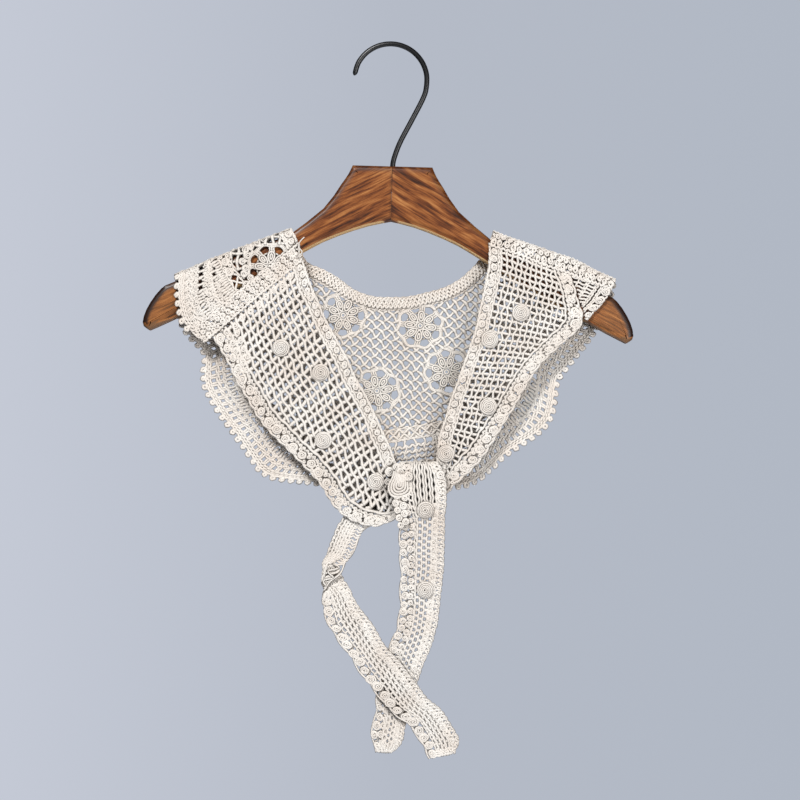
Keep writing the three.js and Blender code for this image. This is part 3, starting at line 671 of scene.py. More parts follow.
# %% The back laid flat, and the way from the flat cloth to the bent one
class FlatBack:
    def __init__(self, rows=460, columns=70):
        u, v = np.meshgrid(np.linspace(0, back.rows, rows), np.linspace(-0.02, 1.02, columns), indexing="ij")
        p = back.point(u, v)
        flat = p[..., [0, 2]].copy()
        for fold, foot in ((LEFT_FOLD, LEFT_FOLD + 3), (RIGHT_FOLD, RIGHT_FOLD - 3)):
            ends = back.point(fold, np.array([0.0, 1.0]))[:, [0, 2]]
            crease = unit(ends[1] - ends[0])
            square = np.array([-crease[1], crease[0]]) * np.sign(crease[0])
            foot = int(round(foot / back.rows * (rows - 1)))
            rest = slice(foot, None, -1) if fold == LEFT_FOLD else slice(foot, None)
            flap, base = p[rest], flat[foot]
            step = np.diff(flap, axis=0)
            line = np.array([crease[0], 0, crease[1]])
            walked = np.linalg.norm(step - (step @ line)[..., None] * line, axis=-1).cumsum(axis=0)
            slid = ((flap[1:, :, [0, 2]] - base) @ crease)[..., None] * crease
            flat[rest][1:] = base + slid + walked[..., None] * square
        self.u, self.v, self.flat = u, v, flat
        self.cells = flat.reshape(-1, 2)
        self.du, self.dv = (np.gradient(flat, axis=axis).reshape(-1, 2) for axis in (0, 1))
        self.row_step, self.column_step = u[1, 0] - u[0, 0], v[0, 1] - v[0, 0]
        self.tree = KDTree(len(self.cells))
        for i, c in enumerate(self.cells):
            self.tree.insert((c[0], c[1], 0), i)
        self.tree.balance()

    def find(self, flat):
        """Row, share across and distance off the cloth of each point of the flat cloth."""
        flat = np.asarray(flat, float)
        index, off = np.zeros(len(flat), int), np.zeros(len(flat))
        for k, c in enumerate(flat):
            _, index[k], off[k] = self.tree.find((c[0], c[1], 0))
        rest, du, dv = flat - self.cells[index], self.du[index], self.dv[index]
        area = du[:, 0] * dv[:, 1] - du[:, 1] * dv[:, 0]
        area = np.where(np.abs(area) < 1e-6, 1e-6, area)
        a = np.clip((rest[:, 0] * dv[:, 1] - rest[:, 1] * dv[:, 0]) / area, -1, 1)
        b = np.clip((du[:, 0] * rest[:, 1] - du[:, 1] * rest[:, 0]) / area, -1, 1)
        return self.u.reshape(-1)[index] + a * self.row_step, self.v.reshape(-1)[index] + b * self.column_step, off

    def place(self, flat, up=0.0):
        u, v, _ = self.find(flat)
        normal = back.safe_normal(u, v)
        return back.point(u, v) + np.broadcast_to(up, u.shape)[:, None] * normal, normal

    def spot(self, x, z):
        """The flat place of a point that is seen at x and z in front of the left arm."""
        p = back.point(self.u, self.v)
        distance = np.hypot(p[..., 0] - x, p[..., 2] - z) + np.where(self.u < LEFT_FOLD, 0, 1e6)
        return self.cells[np.argmin(distance)]


flat_back = FlatBack()
flowers = [np.array(f) for f in ((-37, -207.5), (22.5, -216.5), (-11, -267), (43.5, -252))]
flowers.append(flat_back.spot(-93, -171.5))
FLOWER_REACH = 17.6
net_first, net_last = rows_between_seams(back, BAND_WIDTH - 0.6)


def on_net(u, v, off, margin=0.4):
    edge = back_braid(u) - margin / np.linalg.norm(back.point(u, 1.0) - back.point(u, 0.0), axis=-1)
    inside = (v > edge) & (v < 1 - edge) & (off < 1.2)
    return inside & (u > net_first(v)) & (u < net_last(v))


def turned(angle):
    """The way that points at an angle, and the way square to it."""
    return np.array([np.cos(angle), np.sin(angle)]), np.array([-np.sin(angle), np.cos(angle)])


# %% Both families of slanting strands
NET_PITCHES = (5.25, 5.6)  # mm between the strands of each family
NET_SLANTS = (-47, 38)  # degrees from level
NET_SWAYS, NET_RADII = (0.5, 0.35), (1.57, 1.44)


def slanted(which):
    way, square = turned(np.radians(NET_SLANTS[which]))
    crossing = turned(np.radians(NET_SLANTS[1 - which]))[1]
    centre = np.array([0.0, -230.0])
    q = np.arange(-250, 250, 0.95)
    lines = np.arange(-48, 49)
    base = centre + way * q[None, :, None] + square * (NET_PITCHES[which] * lines[:, None, None])
    phase = np.pi * ((base - centre) @ crossing) / NET_PITCHES[1 - which] + np.pi * lines[:, None]
    flat = base + square * (NET_SWAYS[which] * np.cos(phase))[..., None]
    near = (np.abs(flat[..., 0]) < 175) & (flat[..., 1] > -330) & (flat[..., 1] < -95)
    inside = np.zeros(flat.shape[:2], bool)
    inside[near] = on_net(*flat_back.find(flat[near]))
    for spot in flowers:
        inside &= np.hypot(*(flat - spot).transpose(2, 0, 1)) > FLOWER_REACH - 0.9
    up = (0.25 if which else -0.25) * np.cos(phase)
    swell = NET_RADII[which] * (1 + 0.2 * np.cos(2 * phase))
    out = []
    for k in range(len(lines)):
        for first, last in spans(inside[k]):
            if last - first >= 4:
                points, normal = flat_back.place(flat[k, first:last], up[k, first:last])
                out.append((uneven(points, 0.8), swell[k, first:last], False, normal))
    return out


# %% A flower wheel: a solid middle, eight bars and a solid rim
def on_spoke(spot, angle, reach, spread):
    way, square = turned(angle)
    return spot + reach[:, None] * way + spread[:, None] * square


def flat_ring(spot, size, up, radius=0.95, wave=0.05, turn=0.0, lumps=8):
    points = max(9, int(2 * np.pi * size / STEP) + 1)
    angle = np.arange(points) * 2 * np.pi / points
    reach = size + wave * size * np.cos(lumps * angle)
    flat = spot + np.stack([reach * np.cos(angle + turn), reach * np.sin(angle + turn)], axis=1)
    return flat, up, radius * (1 + 0.1 * np.cos(2 * lumps * (angle + turn))), True


def petal(spot, angle, inner, outer, half, up, radius):
    """A long closed loop that points away from the middle."""
    t = np.arange(18) * 2 * np.pi / 18
    reach = (inner + outer) / 2 + (outer - inner) / 2 * np.cos(t)
    return on_spoke(spot, angle, reach, half * np.sin(t) * (1.0 + 0.25 * np.cos(t))), up, np.full(18, radius), True


def flower(spot, turn, face):
    parts = [flat_ring(spot, 1.6, 0.9, 0.85, lumps=6), flat_ring(spot, 3.2, 0.6, 0.9, 0.06, turn)]
    parts += [flat_ring(spot, size, -1.0, turn=turn) for size in (4.8, 6.7, 8.5)]
    for k in range(8):
        angle = turn + k * np.pi / 4
        rise = 0.5 + 0.2 * np.sin(2.1 * k)
        parts.append(petal(spot, angle, 3.8, 11.9, 2.3, rise + 0.4, 0.9))
        parts.append(petal(spot, angle, 5.8, 10.2, 0.8, rise + 0.6, 0.78))
        for aside in (-1.45, 0.0, 1.45):
            t = np.linspace(0, 1, 6)
            spread = aside * (1.0 + 0.6 * np.abs(2 * t - 1) ** 2) + 0.25 * np.sin(9 * t + k)
            flat = on_spoke(spot, angle, lerp(10.6, 16.3, t), spread)
            parts.append((flat, 0.15 + 0.35 * (aside == 0), np.full(6, 0.9), False))
    parts.append(flat_ring(spot, 10.2, -0.7, 0.95, -0.06, turn))
    for size, up, wave, radius in ((16.3, 0.35, 0.06, 1.0), (17.9, 0.0, 0.045, 1.05), (17.2, 0.7, 0.055, 0.85)):
        parts.append(flat_ring(spot, size, up, radius, wave, turn + np.pi / 8))
    out = []
    for flat, up, radii, closed in parts:
        u, v, off = flat_back.find(flat)
        inside = on_net(u, v, off, 3.0)
        normal = back.normal(u, v)
        points = uneven(back.point(u, v) + face * up * normal, 0.5)
        if inside.all():
            out.append((points, radii, closed, normal))
            continue
        if closed:
            first = int(np.argmin(inside))
            points, radii, inside, normal = (np.roll(x, -first, axis=0) for x in (points, radii, inside, normal))
        for first, last in spans(inside):
            if last - first >= 3:
                out.append((points[first:last], radii[first:last], False, normal[first:last]))
    return out


# Small rounds where the part in front of the left arm is worked closer: x, z and size
CLOSE_ROUNDS = [(-112.2, -158.3, 2.2), (-107.6, -155.6, 2.3), (-102.9, -153.2, 2.2), (-98.3, -150.9, 2.4),
                (-93.7, -148.6, 2.2), (-89.0, -146.3, 2.4), (-84.4, -144, 2.2), (-109.9, -162.9, 2.0),
                (-114.6, -166.8, 2.3), (-111.5, -171.4, 2.1), (-113.4, -176.5, 2.3), (-108.4, -179.6, 2.2)]
# The last wheel lies in front of an arm and shows the outer side of the cloth, the others the inner side.
wheels = [strand for k, spot in enumerate(flowers) for strand in flower(spot, 0.35 + 0.3 * k, 1 if k == 4 else -1)]
for k, (x, z, size) in enumerate(CLOSE_ROUNDS):
    forth, aslant, rise, swell = spiral(size, k)
    points, normal = flat_back.place(flat_back.spot(x, z) + np.stack([forth, aslant], axis=1), 0.8 + rise)
    wheels.append((points, swell, False, normal))
net_panel = Panel(back, across_back(back, back_braid, before_braid))
add_cloth("back_net", net_panel, (slanted(0) + slanted(1), wheels), ("open", "open"), second="flowers")

# %% [markdown]
# ## Braids of the back
# A ring braid runs along the neck edge, and another between the net and the edging. A band with rows of rings lies
# along each shoulder seam.

# %% Neck braid and ring line of the back
neck_strip = Panel(back, across_back(back, none, back_braid))
neck_ground, neck_raised = ring_braid(neck_strip, 4.6, 2.25, 6.4, 9.9, 0.9)
for low in (0.9, 3.5, 6.1):  # the plain side of the braid, which shows inside the collar
    neck_raised += stitches(neck_strip, 0.0, low, low + 2.9, 3.3, -1.1, 0.98)
add_cloth("neck_braid_back", neck_strip, (neck_ground, neck_raised))
ring_strip = Panel(back, across_back(back, before_braid, whole))
add_cloth("back_ring_braid", ring_strip, ring_braid(ring_strip, 5.5, 2.9, 8.2, 1.0, 10.2, 1.0, -1, 12.0))

# %% Seam bands where back and fronts meet, from the neck to the hem
LOOSE_END = [(-72.5, -9.5, -165), (-70.9, -12, -162.7), (-68.3, -12.5, -159.7),
             (-70.9, -12, -155.8), (-70, -12, -151.9), (-66.6, -12.5, -148.3)]  # mm, of a yarn end on the left band


def seam_chart(right):
    v = np.linspace(-0.05, 1.12, 60)
    inner = row_from_seam(back_to_hem, v, BAND_WIDTH, right)
    edge = float(back.rows) if right else 0.0
    return lambda a, b: (lerp(edge, np.interp(a, v, inner), b), a)


for side in ("left", "right"):
    panel = Panel(back_to_hem, seam_chart(side == "right"))
    ground, raised = ring_band(panel, (2.4, 6.1, 9.7), 1.65, 5.0)
    if side == "left":
        raised.append((curve_through(LOOSE_END)(np.linspace(0, 5, 26)), np.full(26, 0.5), False))
    add_cloth(f"seam_band_{side}", panel, (ground, raised))

# %% [markdown]
# ## Edging
# Fans run from the ring line to the hem. From the hem inwards lie picots (small loops that stand out), a twisted
# band, two rows of small holes with a thin band between them, and then the long spokes of the fans.

# %% Fans, meshes and picots along a panel whose across runs from the ring line to the hem
EDGE_YARN = 1.22  # radius of the strands that run along the edging
PICOT, POST = 6.9, 3.05  # mm along the hem from one to the next
HEM_BANDS = (0.9, 2.6, 4.3)  # mm inwards from the hem
FIRST_BAND, SECOND_BAND = 9.6, 14.6  # mm inwards: the thin band between the rows of small holes, and the one after
INNERMOST = SECOND_BAND + 1.2
FULL_WIDTH = 21  # mm from hem to ring line: where there is less, the bands move closer together
OVERLAP = 0.6  # mm that the posts reach under the ring line
SNAIL_DEPTHS = (14.9, 23.2, 26.6, 35.5)  # mm inwards, of rows of small rings in front of an arm
MESH, MESH_WAVE = 4.2, 5.8  # mm from row to row of the open mesh, and the length of a wave in it
SLITS = ((18.7, 1.6), (30.5, 1.0))  # mm inwards from the hem and half length of short slits in front of an arm


def hem_row(panel, s):
    return panel.chart(np.interp(s, panel.walked, panel.at), np.ones(np.shape(s)))[0]


def mesh_share(panel, s):
    """True where the edging is an open mesh, at the hollows between scallops and in the middle, and not in the fans."""
    u = hem_row(panel, s)
    hollow = np.min([np.abs(u - notch) for notch in notches], axis=0)
    return (hollow < 0.3) | (np.abs(edging.point(u, 1.0)[..., 0] - 14) < 26)


def in_front(panel, s, margin=0.0):
    """Whether the edging lies in front of an arm there, where it is worked closer."""
    u = float(hem_row(panel, s))
    return margin < u < LEFT_FOLD - margin / 4 or RIGHT_FOLD + margin / 4 < u < back.rows - margin


def fans(panel):
    end, bands, posts = panel.length, [], []

    def scale(s):
        return np.minimum(1.0, (panel.width(s) - 1.2) / FULL_WIDTH)

    for depth, up, sway, pitch, turn in (
        (HEM_BANDS[0], 0.1, 0.45, 3.4, 0.0), (HEM_BANDS[1], 0.4, 0.45, 3.4, 2.1), (HEM_BANDS[2], 0.1, 0.45, 3.4, 4.2),
        (FIRST_BAND, 0.1, 0.5, 6.0, 0.0), (FIRST_BAND + 1.3, 0.1, 0.5, 6.0, np.pi),
        (SECOND_BAND, 0.1, 0.45, 6.1, 1.0), (INNERMOST, 0.1, 0.4, 3.1, 2.0),
    ):
        bands += runs(panel, (1.0, lambda s: -depth * scale(s), up, sway, pitch, turn, 0.3, EDGE_YARN))
    for k, s in spots(end, PICOT):
        posts.append(ring(panel, s, 1.3, 1.4 + 0.14 * math.sin(2.9 * k), 1.0, 0.15, 1.38, 5, k))
        posts.append(ring(panel, s, -1.1, 1.0, 1.0, 0.45, 0.85, 5, k))
    for low, high, pitch in ((HEM_BANDS[2], FIRST_BAND, 2.95), (FIRST_BAND + 1.3, SECOND_BAND, 3.05)):
        for k, s in spots(end, pitch):
            f = float(scale(s))
            if k % 2 and in_front(panel, s):
                posts.append(snail(panel, s, -(low + high) / 2 * f, 1.3, 1.0, 0.1, k))
            for lean in (-0.7, 0.7) if k % 2 == 0 else ():
                posts.append(bar(panel, s + lean, -low * f, s + lean * 1.5, -high * f, 1.0, 0.0, 0.0, 1.15, 4))
    for k, s in spots(end, POST):
        width, depth = float(panel.width(s)), INNERMOST * float(scale(s))
        open_mesh, close = bool(mesh_share(panel, s)), in_front(panel, s)
        if width - depth < 2.5 or (open_mesh and k % 3):
            continue
        cuts = [depth, width + OVERLAP]
        if k % 3 == 0 and not open_mesh and not close and width - depth > 12:
            middle = (width + depth) / 2
            cuts[1:1] = [middle - 2.4, middle + 2.4]
        if k % 2 == 0 and in_front(panel, s, 1.6):
            slits = [x for at, half in SLITS if at + 3 < width for x in (at - half, at + half)]
            cuts = [depth, *slits, width + OVERLAP]
        thick, sway = (1.12, 0.9) if open_mesh else (1.3 if close else 1.36, 0.42)
        lump, beat = (0.26, 1.35) if close else (0.14, 1.9)
        for low, high in zip(cuts[::2], cuts[1::2]):
            at = lerp(low, high, np.linspace(0, 1, max(4, int((high - low) / 1.25))))
            wave = sway * np.sin(np.pi * at / MESH + (k % 4) * 1.6)
            posts.append(strand(panel, s + wave, 1.0, -at, 0.1 + 0.3 * np.cos(2.1 * at),
                                thick * (1 + lump * np.cos(beat * at + 1.7 * k))))
    for row, depth in enumerate(SNAIL_DEPTHS):
        for k, s in spots(end, 4.6, 0.3 + 0.5 * (row % 2)):
            s += 0.5 * math.sin(2.3 * k + row)
            if in_front(panel, s) and float(panel.width(s)) > depth + 3:
                posts.append(snail(panel, s, -depth + 0.5 * math.sin(3.1 * k), 1.6, 1.0, 0.75, k))
    samples = np.arange(0.0, end, 1.5)
    open_mesh = mesh_share(panel, samples)
    for first, last in spans(~open_mesh):
        for lower, turn in ((0.0, 0.0), (1.4, np.pi)):
            bands.append(run(panel, samples[first], samples[last - 1] + 1.5, 1.0,
                             lambda s: -(panel.width(s) + INNERMOST * scale(s)) / 2 - lower,
                             0.25, 0.5, 6.1, turn, 0.3, EDGE_YARN))
    for first, last in spans(open_mesh):
        s0, s1 = samples[first] - 1.5, samples[last - 1] + 1.5
        deepest = float(panel.width((s0 + s1) / 2)) - 2
        for j, depth in enumerate(np.arange(INNERMOST + MESH, deepest, MESH)):
            share = depth / (deepest + 2)
            bands.append(run(panel, max(s0, 0.0), min(s1, end), 1.0, lambda s: -share * panel.width(s), 0.2, 1.1,
                             MESH_WAVE, np.pi * j, 0.4, 1.3))
    return bands, posts


edging_strip = Panel(edging, across_back(edging, none, whole), guide=1.0)
add_cloth("scalloped_edging", edging_strip, fans(edging_strip), ("edging", "edging"), second="posts")

# %% The last of the edging, which tapers out along the right front
taper_strip = Panel(edging, along(edging, start=back.rows + 0.05), guide=1.0)
TAPER_RING_PITCH = 7.4
TAPER_BANDS = (0.6, 6.9, 8.3, 10.9, 12.4, 18.0, 19.5, 26.0)  # mm inwards from the hem
DENSE_FROM, DENSE_LEAST = 11.0, 14  # mm inwards where the posts begin, and the least width that has posts


def taper_strands(panel):
    """Rings along the hem, an open slit, and dense posts between bands up to the ring line."""
    bands, out = [], []
    s_all = np.linspace(0, panel.length, 400)
    widths = panel.width(s_all)
    for k, s in spots(panel.length + TAPER_RING_PITCH, TAPER_RING_PITCH, 0.35):
        s = min(1.2 + s, panel.length)
        size = min(2.9, float(panel.width(s)) * 0.35)
        out.append(snail(panel, s, -size - 0.3, size, 1.0, 0.5, k))
    for k, depth in enumerate(TAPER_BANDS):
        end = float(s_all[widths > depth + 0.6].max(initial=0.0))
        if end > 4:
            bands.append(run(panel, 0.0, end, 1.0, -depth, -0.1 + 0.3 * (k % 2), 0.4, 3.3, 1.3 * k, 0.3, 0.92))
    for k, s in spots(panel.length, 2.5, 0.3):
        high = float(panel.width(s))
        if high < DENSE_LEAST:
            break
        depth = lerp(DENSE_FROM, high, np.linspace(0, 1, max(4, int((high - DENSE_FROM) / 1.4))))
        sway, up = 0.35 * np.sin(0.9 * depth + k), 0.15 + 0.25 * np.cos(1.6 * depth)
        out.append(strand(panel, s + sway, 1.0, -depth, up, 0.98))
    return bands, out


add_cloth("edging_taper_right", taper_strip, taper_strands(taper_strip), ("edging", "edging"))
for side in ("left", "right"):  # in cloth_pieces the seam bands follow the edging
    cloth_pieces[f"seam_band_{side}"] = cloth_pieces.pop(f"seam_band_{side}")

# %% [markdown]
# ## Fronts
# Each front is a filet net with a narrow ring braid on the neck side and a wide one on the outer side. Both ends of
# the strands are hidden, one under the seam band and one in the knot.

# %% Nets and braids of the fronts
def corner_rings(panel):
    """The left front starts with a row of rings along the seam, and with two more columns at its outer corner."""
    out = [snail(panel, 4.2 + 0.6 * math.sin(2 * k), 0.0, 2.3, 0.06 + 0.115 * k, 0.9, k) for k in range(9)]
    for column, (aside, length) in enumerate(((-1.0, 42), (-7.4, 33))):
        rings, pitch = ring_row(panel, aside, 2.2, 6.1, 7.5, length, 1.0, 0.9, turn=0.3 * column)
        out += rings
        out.append(run(panel, 7.5, length, 1.0, aside, 0.0, 2.3, pitch, column, 0.2, 0.9))
        out.append(run(panel, 7.5, length, 1.0, aside + 3.2, 0.5, 0.4, 3.3, column, 0.3, 0.75))
    return out


for side, cloth, mesh in (("left", left_front, (4.9, 5.9)), ("right", right_front, (4.1, 4.9, 0.55, 1.2))):
    braid = share_of(cloth, BRAID_WIDTH, 0.32)
    net = Panel(cloth, along(cloth, lambda u: braid(u) * 0.93, lambda u: 1 - braid(u) * 0.93))
    inner = Panel(cloth, along(cloth, none, braid))
    outer = Panel(cloth, along(cloth, lambda u: 1 - braid(u), whole))
    long, bars = filet_net(net, *mesh)
    bars += corner_rings(net) if side == "left" else []
    # The areas are measured after this loop, so those of the left net and outer braid use the right front's braid.
    on = [f"crochet_seam_band_{side}"]
    add_cloth(f"front_net_{side}", net, (long, bars), ("open", "close"), on, "bars")
    add_cloth(f"front_neck_braid_{side}", inner, ring_braid(inner, 4.6, 2.25, 6.4, 9.6, 0.9), rests_on=on)
    strands = ring_braid(outer, 5.4, 3.1, 9.2, 10.0, 0.7, 1.0, -1)
    add_cloth(f"front_outer_braid_{side}", outer, strands, rests_on=on)

# %% [markdown]
# ## Rosettes
# A rosette is one yarn wound in a flat spiral and sewn on, a little higher in its middle.

# %% Rosettes
ROSETTE_REACH, ROSETTE_TURNS, ROSETTE_HEIGHT = 5.75, 4.3, 2.3  # mm, turns and mm of the spiral
SEWN_ON = 1.75  # mm from the cloth's middle to the foot of a rosette


def rosette(name, cloth, x, z):
    u, v = np.meshgrid(np.linspace(0, cloth.rows, 500), np.linspace(0.03, 0.97, 40), indexing="ij")
    p = cloth.point(u, v)
    k = np.argmin(np.hypot(p[..., 0] - x, p[..., 2] - z) + np.where(p[..., 1] < 0, 0, 1e6))
    normal = cloth.normal(u, v).reshape(-1, 3)[k]
    if (normal[1] > 0) != (cloth is crossing_tie):
        normal = -normal
    across = unit(np.cross(normal, [0.0, 0.0, 1.0]))
    upward = np.cross(across, normal)
    centre = np.array([x, p.reshape(-1, 3)[k, 1], z]) + normal * SEWN_ON

    def wound(reach, angle, high):
        flat = np.outer(reach * np.cos(angle), across) + np.outer(reach * np.sin(angle), upward)
        return centre + flat + np.outer(high, normal)

    t = np.linspace(0, 1, 96)
    reach = 0.35 + ROSETTE_REACH * t**0.93
    angle = 2 * np.pi * ROSETTE_TURNS * t + x
    points = wound(reach, angle, ROSETTE_HEIGHT * (1 - (reach / 6.6) ** 2.6) + 0.12 * np.cos(5 * angle))
    rim = np.arange(22) * 2 * np.pi / 22
    return make_piece("crochet_" + name, [
        (points, 0.72 * (1 + 0.1 * np.cos(34 * np.sqrt(t) * 2.1)), False),
        (wound(6.0, rim, 0.15), np.full(22, 0.85), True),
        (wound(3.8, rim, 0.6), np.full(22, 0.95), True),
    ])


cloth_of = {"left": left_front, "right": right_front, "front_tie": front_tie, "crossing_tie": crossing_tie}
rosettes = {}  # by solid: the piece, and the solid that it is sewn on
for on, places in ROSETTES.items():
    for k, (x, z) in enumerate(places):
        name = f"rosette_{on}_{k + 1}" if len(places) > 1 else f"rosette_{on}"
        rosettes[name] = rosette(name, cloth_of[on], x, z), on if "tie" in on else f"front_net_{on}"

# %% [markdown]
# ## Ties and knot
# The ties are narrow: a lobed border of small rings, a mesh of a few long strands with bars, and a border of V
# stitches. The knot is the same cloth drawn together, so its strands run round the lump.

# %% Ties
MESH_SHARES = (0.38, 0.49, 0.6, 0.71, 0.82)  # shares of the width where the long strands lie
MIDDLE_RINGS = 0.765  # share of the width where a row of rings lies on the mesh
HOLE_PITCH = 4.8  # mm from one hole of the mesh to the next in its column
CROSSING_FOLD, TIGHT_END = 112, 60  # mm from the knot to the crossing tie's fold, and to the front tie's open mesh
V_SHARES = ((0.02, 0.24), (0.26, 0.5), (0.5, 0.78))  # columns of V stitches, each between two shares of the width


def tie_strands(panel, columns, dense_until=0.0, tight_until=0.0, ring_edge=0, face=1):
    """A border with columns of rings, a mesh of wavy strands, and a border of V stitches. Up to dense_until, V
    stitches fill it. ring_edge is the side of the rings, 0 or 1, and face is 1 where they stand on the right side."""
    end, mesh_from = panel.length, max(dense_until, tight_until)
    way, other = 1 - 2 * ring_edge, 1 - ring_edge
    ground, raised = [], []

    def across(share):
        return abs(ring_edge - share)

    for aside, size, pitch, turn in columns:
        rings, _ = ring_row(panel, way * aside, size, pitch, dense_until, end - 1, ring_edge, 0.5, turn, face)
        raised += rings
        ground.append(run(panel, dense_until, end, ring_edge, way * aside, -0.6 * face, 0.9 * size, pitch, 0, 0.2,
                          0.9))
    raised += ring_row(panel, 0.0, 2.3, 5.4, mesh_from, end - 5, across(MIDDLE_RINGS), 0.6, 0.2, face)[0]
    beside = columns[-1][0] + columns[-1][1] + 1.2
    ground += runs(panel, (ring_edge, way * 0.6, 0.0, 0.7, 22.0, 0, 0.2, 0.95),
                   (ring_edge, way * beside, 0.0, 0.4, 3.4, 0, 0.3, 1.0),
                   (other, -way * 0.9, 0.1, 0.4, 5.0, 0, 0.3, 0.95),
                   (other, -way * 7.4, 0.2, 0.35, 3.3, 1.0, 0.3, 1.0))
    raised += runs(panel, (other, -way * 2.05, 0.35 * face, 1.55, 3.3, 0.0, 0.35, 1.0, 0.8),
                   (other, -way * 5.2, 0.35 * face, 1.6, 3.3, 2.0, 0.35, 1.0, 0.8))
    t = np.linspace(0, 1, 5)
    for column, (low, high) in enumerate(V_SHARES):
        for k, s in spots(dense_until, 2.6):
            s = s + 0.3 * math.sin(2.3 * k + column) + 1.8 * np.array([0, 0.6, 1, 0.6, 0])
            share = lerp(across(low), across(high), t)
            raised.append(strand(panel, s, share, 0.0, 0.3 + 0.3 * np.sin(np.pi * t), 0.92))
    s = np.linspace(0, end, int(end / 0.9))
    beat = 2 * np.pi * np.cumsum((s[1] - s[0]) / np.where(s < tight_until, 7.2, HOLE_PITCH)) + 0.5 * np.sin(0.13 * s)
    apart = 0.95 * np.clip((tight_until + 6 - s) / 6, 0, 1)  # the strands are double at the knot
    step = MESH_SHARES[1] - MESH_SHARES[0]
    for k, share in enumerate(MESH_SHARES):
        sway = np.maximum(0.35, step * panel.width(s) / 2 - 1.7 - 0.3 * apart) * (1 + 0.2 * np.sin(0.21 * s + k))
        phase = beat + np.pi * k
        for half in (-1, 1) if tight_until else (0,):
            part = s < tight_until + 6 if half > 0 else s > -1
            ground.append(strand(panel, s[part], across(share), (sway * np.sin(phase) + half * apart)[part],
                                 0.2 + 0.2 * np.cos(phase[part]), 1.36 - 0.24 * apart[part] / 0.95, amount=0.4))
        if k == len(MESH_SHARES) - 1:
            break
        turns = np.arange(1, int(beat[-1] / 2 / np.pi))
        for s0 in np.interp(2 * np.pi * turns + np.pi / 2 - np.pi * k, beat, s):
            if s0 > mesh_from:
                raised.append(bar(panel, s0 - 0.3, 0.0, s0 + 0.3, 0.0, across(share + 0.2 * step), 0.1, 0.0, 1.4, 3,
                                  across(share + 0.8 * step)))
    for share in (MESH_SHARES[0] - 0.05, MESH_SHARES[-1] + 0.05):
        for _, s0 in spots(end, HOLE_PITCH, start=dense_until):
            raised.append(bar(panel, s0 - 0.8, 0.0, s0 + 0.8, 0.0, across(share) - 0.05, -0.1, 0.2, 1.0, 4,
                              across(share) + 0.05))
    t = np.linspace(0, 1, 16)
    for k in range(3):
        raised.append(strand(panel, end - 0.9 - 1.7 * k - 0.5 * np.sin(9 * np.pi * t),
                             lerp(0.04 + 0.02 * k, 0.96 - 0.02 * k, t), 0.0, 0.2 * face, 1.0))
    return ground, raised


for name, cloth, *work in (
    ("front_tie", front_tie, [(3.4, 2.5, 6.6, 0.5), (8.4, 2.0, 5.9, 0.0)], 0.0, TIGHT_END),
    ("crossing_tie", crossing_tie, [(4.0, 3.1, 7.5, 0.5)], CROSSING_FOLD, 0.0, 1, -1),
):
    panel = Panel(cloth, along(cloth))
    add_cloth(name, panel, tie_strands(panel, *work), ("open", "close"), ["crochet_front_neck_braid_right"])

# %% Knot: strands side by side round the drawn-together cloth, and the swirl of arcs on its left
KNOT_CENTRE, KNOT_HALF = np.array([25.5, -12.8, -344.5]), np.array([13.5, 4.9, 19.0])
# x, z and y of the rings about the swirl, and their size
SWIRL_RINGS = [(-0.8, -328.8, -15.0, 3.2), (13.4, -332.0, -21.6, 3.0), (4.5, -325.0, -17.0, 2.4),
               (38.0, -331.0, -20.6, 2.8), (-2.5, -336.5, -14.0, 2.2), (7.2, -328.6, -19.6, 2.4),
               (3.6, -352.6, -21.0, 2.3), (9.4, -354.6, -21.4, 2.5), (5.2, -358.0, -20.8, 2.2),
               (10.4, -360.6, -21.0, 2.4), (6.4, -363.8, -20.4, 2.2), (11.4, -366.8, -20.6, 2.3),
               (7.6, -369.6, -20.0, 2.0)]


def knot_strands():
    out = []
    height = np.linspace(-0.96, 0.96, 30)
    wide, half = np.sqrt(1 - height**2), KNOT_HALF[:2] - 1.1
    for k in range(16):
        angle = 2 * np.pi * k / 16 + 0.07 * np.cos(9 * height + np.pi * k)
        x, y = half[:, None] * wide * [np.cos(angle), np.sin(angle)]
        points = np.stack([x, y, KNOT_HALF[2] * height], axis=1)
        out.append((KNOT_CENTRE + points, 1.6 * (0.6 + 0.4 * wide), False, unit(points / KNOT_HALF**2)))
    return out


def swirl_strands():
    """U-shaped rounds one inside the other, with a few rings about them."""
    out = []
    for k in range(5):
        half = 1.0 + 1.65 * k
        turn = np.linspace(np.pi, 2 * np.pi, 9 + 2 * k)
        arm = np.linspace(0, 1, 6)[1:]
        x = np.concatenate([np.full(5, -half), half * np.cos(turn), np.full(5, half)]) * (1 + 0.03 * k)
        z = np.concatenate([(7.5 + 0.5 * k) * arm[::-1], 1.25 * half * np.sin(turn), (7.5 + 0.5 * k) * arm])
        lump = np.cos(2.1 * np.arange(len(x)) + k)
        y = -22.3 + 0.055 * (x * x + 0.5 * z * z) ** 0.9 + 0.3 * lump
        points = np.stack([7.0 + x * (1 - 0.03 * z) + 0.12 * np.maximum(z, 0), y, -338.5 + z], axis=1)
        out.append((uneven(points, 1.3), 1.1 * (1 + 0.16 * lump), False))
    for x, z, y, size in SWIRL_RINGS:
        forth, aslant, rise, swell = spiral(size, x)
        out.append((np.stack([x + forth, y - rise, z + aslant], axis=1), swell, False))
    return out


knot = make_piece("crochet_knot", knot_strands())
swirl = make_piece("crochet_knot_swirl", swirl_strands())
